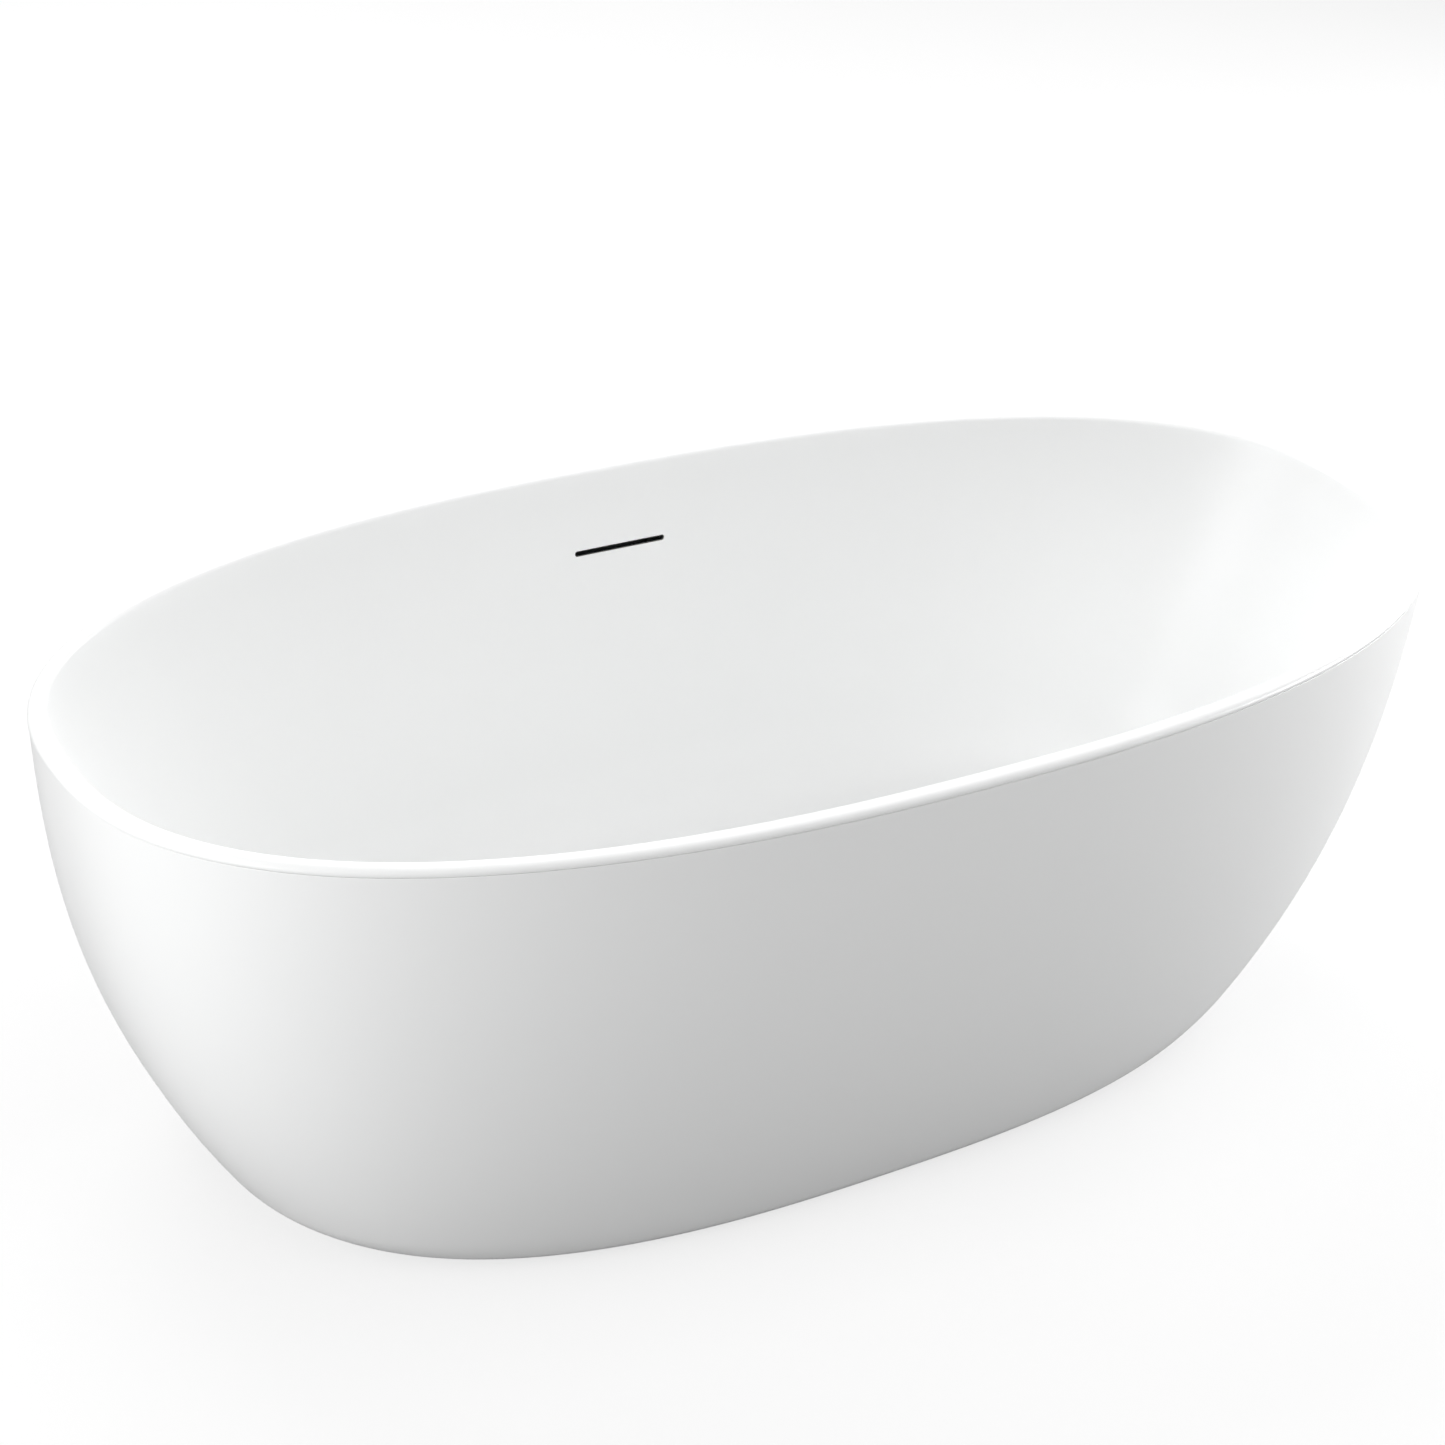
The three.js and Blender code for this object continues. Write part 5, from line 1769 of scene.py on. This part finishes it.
@dataclass
class Waste(SubAssembly):
    """The click plug, the flanged tube that it closes and the chamber and outlet below."""

    gasket: float = 1.2
    flange_radius: float = 35.0
    flange_height: float = 2.4
    tube_radius: float = 23.0
    tube_wall: float = 2.0
    tube_length: float = 46.0
    wall: float = 3.2
    body_radius: float = 30.0
    collar_radius: float = 33.0
    collar_height: float = 5.0
    outlet_radius: float = 20.0
    outlet_wall: float = 2.5
    outlet_gap: float = 20.0
    nut_height: float = 20.0
    nut_radius: float = 29.0
    plug_radius: float = 30.0
    plug_dome: float = 5.0
    plug_edge: float = 2.4
    plug_travel: float = 9.0
    spider_height: float = 8.0
    spider_arm: float = 5.0
    spider_boss: float = 9.0
    cartridge_radius: float = 7.0
    cartridge_bore: float = 4.6
    cartridge_stub: float = 5.2
    stem_radius: float = 3.0
    piston_radius: float = 4.2
    piston_height: float = 4.0
    wire: float = 0.6
    coils: int = 5
    seal: float = 3.6
    port_radius: float = 8.7
    port_wall: float = 1.9
    port_length: float = 24.0
    hose_radius: float = 12.5
    hose_under_rail: float = 4.0

    @property
    def recess(self) -> float:
        """Height of the recess in the floor."""
        return self.tub.floor_height - 4.0

    @property
    def flange_low(self) -> float:
        """Underside of the flange."""
        return self.recess + self.gasket + 2 * self.tub.gap

    @property
    def flange_top(self) -> float:
        """Top of the flange."""
        return self.flange_low + self.flange_height

    @property
    def bore(self) -> float:
        """Radius of the flanged tube's bore."""
        return self.tube_radius - self.tube_wall

    @property
    def tube_end(self) -> float:
        """Lower end of the flanged tube."""
        return self.flange_top - self.tube_length

    @property
    def spider_top(self) -> float:
        """Top of the cross that holds the cartridge."""
        return self.tube_end + self.spider_height * 1.5

    @property
    def plug_low(self) -> float:
        """Underside of the plug's cap."""
        return self.flange_top + self.tub.gap

    @property
    def collar_top(self) -> float:
        """Top of the chamber's collar."""
        return self.recess - self.tub.liner - self.wall - 2 * self.tub.gap

    @property
    def port_z(self) -> float:
        """Height of the middle of the overflow's port."""
        return self.tub.rail_top - self.tub.tube - self.hose_under_rail - self.hose_radius

    @property
    def chamber_low(self) -> float:
        """Underside of the chamber."""
        return self.port_z - self.port_radius - self.wall * 2

    @property
    def spigot_radius(self) -> float:
        """Outside of the chamber's lower spigot."""
        return self.outlet_radius + self.tub.gap + self.outlet_wall

    @property
    def spigot_end(self) -> float:
        """Lower end of the spigot."""
        return (self.chamber_low + self.outlet_gap) / 2

    @property
    def cartridge_top(self) -> float:
        """Top of the cartridge."""
        return self.plug_low - self.tub.gap - self.seal - 2

    @property
    def piston_low(self) -> float:
        """Underside of the piston at the stem's lower end."""
        return self.cartridge_top - self.plug_travel - self.piston_height - 2

    def build(self) -> None:
        """Makes every piece of the waste."""
        self.keep("waste_flange_tube", self.flange(), Look.CHROME, "waste_flange")
        self.keep("waste_chamber", self.chamber(), Look.GREY_PLASTIC, "waste_body")
        self.keep("slip_nut_ribbed", self.slip_nut(), Look.GREY_PLASTIC, "slip_nut")
        self.keep("tailpiece_tube", self.tailpiece(), Look.GREY_PLASTIC, "tailpiece")
        washer = self.washer(self.flange_radius - 1, self.recess + self.tub.gap, self.gasket)
        self.keep("flange_washer", washer, Look.RUBBER, "waste_flange_gasket")
        low = self.collar_top + self.tub.gap
        high = self.recess - self.tub.liner - self.tub.gap
        washer = self.washer(self.collar_radius - 1, low, high - low)
        self.keep("chamber_washer", washer, Look.RUBBER, "waste_body_gasket")
        self.plug()
        self.cartridge()

    def washer(self, radius: float, low: float, height: float) -> Mesh:
        """A flat washer round the flanged tube."""
        inner = self.tube_radius + self.tub.gap
        return turned(ring_outline(inner, radius, low, low + height), 72, height * 0.3)

    def flange(self) -> Mesh:
        """The flange and its threaded tube, with a cross near the bottom."""
        edge = self.flange_height / 2
        outline = [
            (self.bore, self.tube_end), (self.tube_radius, self.tube_end),
            (self.tube_radius, self.flange_low), (self.flange_radius, self.flange_low),
            (self.flange_radius, self.flange_low + edge / 2),
            (self.flange_radius - edge, self.flange_top), (self.bore + edge / 2, self.flange_top),
            (self.bore, self.flange_top - edge),
        ]
        shell = turned(outline, 128, 0.5)
        low = self.spider_top - self.spider_height
        reach = self.bore + self.tube_wall / 2
        half = self.spider_arm / 2
        arm = slab((self.spider_boss - 2, -half, low), (reach, half, self.spider_top))
        arms = grown(Tree.ROUND, softened(arm, 0.8), Count=4)
        hole = self.cartridge_stub + self.tub.gap
        boss = turned(ring_outline(hole, self.spider_boss, low, self.spider_top), 48, 0.8)
        return joined([shell, arms, boss])

    def chamber(self) -> Mesh:
        """The chamber under the waste, with its port."""
        radius = self.body_radius - self.wall
        floor = self.chamber_low + self.wall
        roof = self.tube_end + 12
        neck = self.tube_radius + self.tub.gap
        step = self.collar_top - self.collar_height
        bore = self.outlet_radius + self.tub.gap
        outer = turned([
            (0, self.spigot_end), (self.spigot_radius, self.spigot_end),
            (self.spigot_radius, self.chamber_low), (self.body_radius, self.chamber_low),
            (self.body_radius, step), (self.collar_radius, step),
            (self.collar_radius, self.collar_top), (0, self.collar_top),
        ], 72, 1.4)
        inner = turned([
            (0, self.spigot_end - 2), (bore, self.spigot_end - 2), (bore, floor), (radius, floor),
            (radius, roof - self.wall), (neck, roof), (neck, self.collar_top + 2), (0, self.collar_top + 2),
        ], 72)
        port = self.port(ring_outline(0, self.port_radius, radius + 1, self.port_end), 0.8)
        port_bore = self.port_radius - self.port_wall
        hollow = self.port(ring_outline(0, port_bore, radius / 2, self.port_end + 2), 0.0)
        return less(less(outer, port, join=True), inner, hollow)

    @property
    def port_end(self) -> float:
        """The end of the port along Y."""
        return self.body_radius + self.port_length

    def port(self, outline: Sequence[Point2], radius: float) -> Mesh:
        """A turned shape laid along +Y at the port's height."""
        spot = Matrix.Translation((0, 0, self.port_z)) @ Matrix.Rotation(-math.pi / 2, 4, "X")
        return placed(turned(outline, 40, radius), spot)

    def slip_nut(self) -> Mesh:
        """The slip nut, with grip ribs all round."""
        low = self.spigot_end - self.nut_height / 2
        high = self.spigot_end + self.nut_height / 2
        small = self.outlet_radius + self.tub.gap
        large = self.spigot_radius + self.tub.gap
        shelf = self.spigot_end - self.tub.gap
        skin = self.nut_radius - 1.2
        body = turned([
            (small, low), (skin, low), (skin, high), (large, high), (large, shelf), (small, shelf),
        ], 72, 0.8)
        rib = softened(slab((skin - 1, -1.3, low + 1.2), (self.nut_radius - 0.05, 1.3, high - 1.2)), 0.7)
        ribs = grown(Tree.ROUND, rib, Count=24)
        return joined([body, ribs])

    def tailpiece(self) -> Mesh:
        """The outlet tube with its eased ends."""
        bore = self.outlet_radius - self.outlet_wall
        top = self.chamber_low + self.wall
        return turned(ring_outline(bore, self.outlet_radius, self.outlet_gap, top), 72, 0.7)

    def plug(self) -> None:
        """The plug's cap, seal and stem, which move together."""
        low = self.plug_low
        dome = []
        for step in range(1, 13):
            angle = step / 12 * math.pi / 2
            rise = self.plug_edge + self.plug_dome * math.sin(angle)
            dome.append((self.plug_radius * math.cos(angle), low + rise))
        dome[-1] = (0.0, dome[-1][1])
        rim = [(0.0, low), (self.plug_radius - 0.5, low), (self.plug_radius, low + 0.5),
               (self.plug_radius, low + self.plug_edge - 0.4)]
        cap = turned([*rim, *dome], 96)
        self.keep("plug_dome_cap", cap, Look.CHROME, "plug_cap", body="plug")
        top = low - self.tub.gap
        inner = self.stem_radius + self.tub.gap
        outer = self.bore - 1
        seal = turned([
            (inner, top - self.seal), (outer - 2.4, top - self.seal), (outer, top - self.seal + 1.2),
            (outer, top - 1.0), (outer - 1.6, top - 0.5), (outer - 1.6, top), (inner, top),
        ], 72, 0.5)
        self.keep("plug_lip_seal", seal, Look.RUBBER, "plug_seal", body="plug")
        piston, shoulder = self.piston_low, self.piston_low + self.piston_height
        stem = turned([
            (0, piston), (self.piston_radius, piston), (self.piston_radius, shoulder),
            (self.stem_radius, shoulder), (self.stem_radius, top), (0, top),
        ], 40, 0.5)
        self.keep("plug_push_stem", stem, Look.CHROME, "plug_stem", body="plug")

    def cartridge(self) -> None:
        """The cartridge that guides the stem, and the spring in it."""
        low = self.spider_top + self.tub.gap
        foot = self.spider_top - self.spider_height
        floor = low + 3
        top = self.cartridge_top
        body = turned([
            (0, foot), (self.cartridge_stub, foot), (self.cartridge_stub, low), (self.cartridge_radius, low),
            (self.cartridge_radius, top), (self.cartridge_bore, top), (self.cartridge_bore, floor),
            (0, floor),
        ], 48, 0.5)
        self.keep("click_cartridge", body, Look.BRASS, "plug_cartridge")
        inset = self.wire + self.tub.gap
        radius = self.piston_radius - self.wire
        points = []
        steps = self.coils * 28
        for step in range(steps + 1):
            angle = step / steps * self.coils * math.tau
            z = mix(floor + inset, self.piston_low - inset, step / steps)
            points.append((radius * math.cos(angle), radius * math.sin(angle), z))
        coil = grown(
            Tree.HOSE, path_through(points), Sides=10, Radius=self.wire * MM, Step=0.8 * MM, Closed_Ends=True,
        )
        self.keep("click_spring", faced_outward(coil), Look.SPRING, "plug_spring")


# ---- Overflow ----


@dataclass
class Overflow(SubAssembly):
    """The slot's trim, the box behind it and the hose down to the waste."""

    trim_wall: float = 0.9
    gasket: float = 2.0
    box_length: float = 150.0
    box_height: float = 38.0
    box_wall: float = 2.0
    rear_gap: float = 2.4
    spout_radius: float = 8.7
    spout_wall: float = 1.9
    spout_length: float = 24.0
    hose_radius: float = 12.5
    hose_wall: float = 1.28
    rib_depth: float = 1.9
    rib_pitch: float = 5.2
    cuff: float = 26.0
    band: float = 0.8
    band_width: float = 9.0

    @property
    def place(self) -> Matrix:
        """The overflow's own frame."""
        return self.tub.overflow_place

    @property
    def clamp_inner(self) -> float:
        """Inside radius of a clamp's band."""
        return self.hose_radius + 2 * self.tub.gap

    @property
    def spout_y(self) -> float:
        """How far behind the wall's face the spout stands."""
        return self.tub.liner + self.clamp_inner + self.band + 2 * self.tub.gap

    @property
    def box_near(self) -> float:
        """Front of the box."""
        return self.tub.liner + self.tub.gap + 0.1 + self.gasket + self.tub.gap

    @property
    def box_far(self) -> float:
        """Back of the box."""
        corner = self.place @ Vector((0, self.box_near, self.box_height / 2))
        room = self.tub.skirt_at(corner.z, self.tub.skirt).b - corner.y
        return self.box_near + (room - self.rear_gap) * math.hypot(1, self.tub.side_lean)

    def build(self) -> None:
        """Makes every piece of the overflow."""
        self.keep("slot_trim", self.trim(), Look.SLOT, "overflow_trim", sharp=30)
        self.keep("slot_gasket", self.ring_gasket(), Look.RUBBER, "overflow_gasket")
        self.keep("overflow_housing", self.box(), Look.GREY_PLASTIC, "overflow_box")
        self.keep("overflow_ribbed_hose", self.hose(), Look.HOSE, "overflow_hose", sharp=60)
        waste = Waste(self.tub)
        drop = (self.box_height + self.spout_length) / 2
        upper = self.place @ Matrix.Translation((0, self.spout_y, -drop))
        level = (waste.body_radius + waste.port_end) / 2
        lower = Matrix.Translation((0, level, waste.port_z)) @ Matrix.Rotation(math.pi / 2, 4, "X")
        self.keep("worm_clamp_upper", placed(self.clamp(), upper), Look.ZINC, "hose_clamp_upper")
        self.keep("worm_clamp_lower", placed(self.clamp(), lower), Look.ZINC, "hose_clamp_lower")

    def ring(self, length: float, height: float, wall: float, near: float, far: float, ease: float) -> Mesh:
        """A sleeve with round ends, in the overflow's frame.

        Args:
            length: Its outside length.
            height: Its outside height.
            wall: How thick it is.
            near: Its front.
            far: Its back.
            ease: How far its edges are eased.

        Returns:
            A closed mesh.
        """
        eased = [(ease, near), (0.0, near + ease), (0.0, far - ease), (ease, far)]
        shrunk = [(2 * inset, y) for inset, y in eased]
        shrunk += [(2 * (wall - inset), y) for inset, y in reversed(eased)]
        rings = [[(x, y, z) for x, z in stadium(length - off, height - off)] for off, y in shrunk]
        return placed(lofted(rings, looped=True), self.place)

    def trim(self) -> Mesh:
        """The thin sleeve that lines the slot."""
        tub = self.tub
        return self.ring(tub.slot_length, tub.slot_height, self.trim_wall, tub.gap, tub.liner, 0.3)

    def ring_gasket(self) -> Mesh:
        """The gasket between the liner and the box."""
        margin = (self.box_height - self.tub.slot_height) / 2 - self.tub.gap
        near = self.tub.liner + self.tub.gap + 0.1
        length = self.tub.slot_length + 2 * margin
        return self.ring(length, self.box_height - 1, margin, near, near + self.gasket, 0.5)

    def box(self) -> Mesh:
        """The box behind the slot, with its mouth and its spout."""
        half_x, half_z, wall = self.box_length / 2, self.box_height / 2, self.box_wall
        near, far = self.box_near, self.box_far
        body = softened(slab((-half_x, near, -half_z), (half_x, far, half_z)), 1.8, 3)
        spout = self.spout(ring_outline(0, self.spout_radius, -1, self.spout_length), 0.8)
        in_x, in_z = half_x - wall, half_z - wall
        hollow = slab((-in_x, near + wall, -in_z), (in_x, far - wall, in_z))
        mouth = prism(stadium(self.tub.slot_length, self.tub.slot_height + 4), near - 1, near + wall + 1)
        bore_radius = self.spout_radius - self.spout_wall
        bore = self.spout(ring_outline(0, bore_radius, -wall - 1, self.spout_length + 1), 0.0)
        return placed(less(less(body, spout, join=True), hollow, mouth, bore), self.place)

    def spout(self, outline: Sequence[Point2], radius: float) -> Mesh:
        """A turned shape that hangs from the box's underside."""
        top = -self.box_height / 2
        flipped = [(r, top - drop) for r, drop in outline]
        mesh = turned(flipped, 40, radius)
        return placed(mesh, Matrix.Translation((0, self.spout_y, 0)))

    def route(self) -> list[Vector]:
        """The hose's middle line: off the spout, down between the skins and in to the waste."""
        tub = self.tub
        waste = Waste(tub)
        top = -self.box_height / 2
        drops = (tub.gap, self.spout_length / 2, self.spout_length, self.spout_length * 1.4)
        points = [self.place @ Vector((0, self.spout_y, top - drop)) for drop in drops]
        turn_z = tub.edge + tub.side_turn / 2

        def beside(share: float) -> Vector:
            """A place midway between the two skins."""
            z = mix(points[3].z, turn_z, share)
            inside = tub.skirt_at(z, tub.skirt).b
            return Vector((0, (tub.side_wall.reach(z, tub.liner) + inside) / 2, z))

        low = beside(1)
        bend = low.z - waste.port_z
        corner = []
        for share in (0.25, 0.5, 0.75):
            angle = share * math.pi / 2
            corner.append(Vector((0, low.y - bend * (1 - math.cos(angle)), low.z - bend * math.sin(angle))))
        flat = Vector((0, low.y - bend, waste.port_z))
        end = Vector((0, waste.body_radius + tub.gap, waste.port_z))
        return centripetal([*points, beside(0.35), beside(0.7), low, *corner, flat, flat.lerp(end, 0.5), end])

    def hose(self) -> Mesh:
        """The ribbed hose, open at both ends."""
        outside = grown(
            Tree.HOSE, path_through(self.route()), Sides=28, Radius=self.hose_radius * MM,
            Rib_Depth=self.rib_depth * MM, Rib_Pitch=self.rib_pitch * MM, Cuff=self.cuff * MM,
            Step=self.rib_pitch / 6 * MM,
        )
        return applied(outside, "SOLIDIFY", thickness=self.hose_wall * MM, offset=-1.0)

    def clamp(self) -> Mesh:
        """A band with its slots, its housing and its worm screw, about Z."""
        half = self.band_width / 2
        outer = self.clamp_inner + self.band
        band = turned(ring_outline(self.clamp_inner, outer, -half, half), 72, 0.2)
        tooth = slab((outer - 0.1, -0.35, -half * 0.55), (outer + 0.12, 0.35, half * 0.55))
        teeth = grown(Tree.ROUND, tooth, Count=44)
        block = slab((self.clamp_inner + self.band / 4, -6, -half + 1), (outer + 5.4, 6, half - 1))
        housing = softened(block, 1.6, 3)
        worm = turned([(0, -7.0), (2.0, -7.0), (2.0, 7.4), (3.3, 7.4), (3.3, 10.0), (0, 10.0)],
                      24, 0.4)
        groove = slab((-4, -0.5, 8.8), (4, 0.5, 11))
        laid = Matrix.Translation((outer + 2.7, -3.6, 0)) @ Matrix.Rotation(-math.pi / 2, 4, "X")
        worm = placed(less(worm, groove), laid)
        return joined([band, teeth, housing, worm])


# ---- Camera, light and floor ----


@dataclass(frozen=True)
class Viewpoint:
    """Where the camera stands, as angles round a target."""

    azimuth: float = -34.533
    elevation: float = 30.073
    roll: float = 5.615
    target: Point3 = (-46.4, 34.6, 421.2)
    distance: float = 3393.3
    lens: float = 74.57
    sensor: float = 36.0

    def make(self) -> None:
        """Makes the camera and gives it to the scene."""
        data = bpy.data.cameras.new("viewpoint")
        data.lens = self.lens
        data.sensor_width = self.sensor
        data.clip_end = 100.0
        camera = bpy.data.objects.new("viewpoint", data)
        bpy.context.scene.collection.objects.link(camera)
        angles = (self.azimuth, self.elevation, self.roll)
        azimuth, elevation, roll = (math.radians(angle) for angle in angles)
        level = math.cos(elevation)
        back = Vector((math.sin(azimuth) * level, -math.cos(azimuth) * level, math.sin(elevation)))
        right = (-back).cross(Vector((0, 0, 1))).normalized()
        up = right.cross(-back)
        across = right * math.cos(roll) + up * math.sin(roll)
        above = up * math.cos(roll) - right * math.sin(roll)
        turn = Matrix((across, above, back)).transposed().to_4x4()
        spot = (Vector(self.target) + back * self.distance) * MM
        camera.matrix_world = Matrix.Translation(spot) @ turn
        bpy.context.scene.camera = camera


@dataclass(frozen=True)
class Lamp:
    """A soft panel of light that faces the tub."""

    name: str
    spot: Point3
    aim: Point3
    size: tuple[float, float]
    power: float

    def make(self) -> None:
        """Makes the light."""
        data = bpy.data.lights.new(self.name, "AREA")
        data.shape = "RECTANGLE"
        data.size, data.size_y = self.size
        data.energy = self.power
        lamp = bpy.data.objects.new(self.name, data)
        bpy.context.scene.collection.objects.link(lamp)
        lamp.location = self.spot
        lamp.rotation_euler = (Vector(self.aim) - Vector(self.spot)).to_track_quat("-Z", "Y").to_euler()


@dataclass(frozen=True)
class Studio:
    """The pale floor, the soft panels and the even light all round."""

    ambient: float = 0.3
    backdrop: float = 0.82
    floor_half: float = 30.0
    floor_glow: float = 0.72
    floor_bounce: float = 0.3
    lamps: tuple[Lamp, ...] = (
        Lamp("panel_right", (4.3, 0.6, 2.2), (0.2, 0.0, 0.35), (2.8, 2.6), 104.0),
        Lamp("panel_left", (-4.4, -0.5, 2.4), (0.0, 0.0, 0.35), (3.0, 3.0), 86.0),
        Lamp("panel_back_high", (0.0, 2.8, 3.8), (0.0, 0.0, 0.2), (3.4, 1.6), 79.0),
        Lamp("panel_right_ground", (3.4, -1.3, 0.34), (0.4, 0.0, 0.3), (2.0, 0.6), 68.0),
        Lamp("panel_back", (0.0, 4.4, 2.6), (0.0, 0.0, 0.3), (4.0, 2.5), 56.0),
        Lamp("panel_left_ground", (-3.4, -1.5, 0.34), (-0.4, 0.0, 0.3), (2.2, 0.6), 44.0),
        Lamp("panel_front_high", (0.0, -2.6, 4.0), (0.0, 0.0, 0.2), (3.0, 1.6), 20.0),
        Lamp("panel_over", (0.1, -0.5, 3.0), (0.1, 0.0, 0.15), (2.0, 1.0), 15.0),
        Lamp("panel_right_low", (4.3, -1.6, 0.9), (0.2, 0.0, 0.3), (2.0, 1.6), 14.0),
    )

    def make(self) -> None:
        """Makes the light, the surroundings and the floor."""
        for lamp in self.lamps:
            lamp.make()
        bpy.context.scene.view_settings.view_transform = "Standard"
        self.make_surroundings()
        self.make_floor()

    def make_surroundings(self) -> None:
        """Makes the even light, which shows paler than it lights."""
        world = bpy.data.worlds.new("surroundings")
        world.use_nodes = True
        bpy.context.scene.world = world
        made = NodeMaker(world.node_tree)
        even = made.tree.nodes["Background"]
        made.put(even.inputs["Color"], rgba(WHITE))
        made.put(even.inputs["Strength"], self.ambient)
        backdrop = made.chain("ShaderNodeBackground", Color=rgba(WHITE), Strength=self.backdrop)
        shown = made.blend(made.add("ShaderNodeLightPath").outputs["Is Camera Ray"], even, backdrop)
        made.put(made.tree.nodes["World Output"].inputs["Surface"], shown.outputs[0])

    def make_floor(self) -> None:
        """Makes the floor, which shows paler than it lights."""
        half = self.floor_half / MM
        corners = [(-half, -half, 0), (half, -half, 0), (half, half, 0), (-half, half, 0)]
        floor = new_object("studio_floor", mesh_from(corners, [(0, 1, 2, 3)]))
        made = Dressing("pale_floor")
        clouds = made.group(
            "soft_mottle", mottle_group, Vector=made.where, Scale=1.5,
            Light=rgba(WHITE, 0.9), Dark=rgba(WHITE, 0.885),
        )
        made.fill(Base_Color=clouds.outputs["Colour"], Roughness=0.9, Specular_IOR_Level=0.1)
        dull = made.chain("ShaderNodeBsdfDiffuse", Color=rgba(WHITE, self.floor_bounce))
        glow = made.chain("ShaderNodeEmission", Color=rgba(WHITE), Strength=1.0)
        seen = made.blend(self.floor_glow, made.shader, glow)
        shown = made.blend(made.add("ShaderNodeLightPath").outputs["Is Camera Ray"], dull, seen)
        made.put(made.tree.nodes["Material Output"].inputs["Surface"], shown.outputs[0])
        floor.data.materials.append(made.material)


# ---- Assembly ----


def main() -> None:
    """Loads the frame, builds the tub on it and sets up the view."""
    logging.basicConfig(level=logging.INFO, format="%(message)s")
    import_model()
    Viewpoint().make()
    Studio().make()
    tub = TubSizes()
    for maker in SUB_ASSEMBLIES:
        group = maker(tub)
        group.build()
        group.dress()
        group.hand_over()
        log.info("%s: %d pieces", type(group).__name__, len(group.parts))


SUB_ASSEMBLIES: tuple[type[SubAssembly], ...] = (Skins, Frame, Feet, Waste, Overflow)

if __name__ == "__main__":
    main()
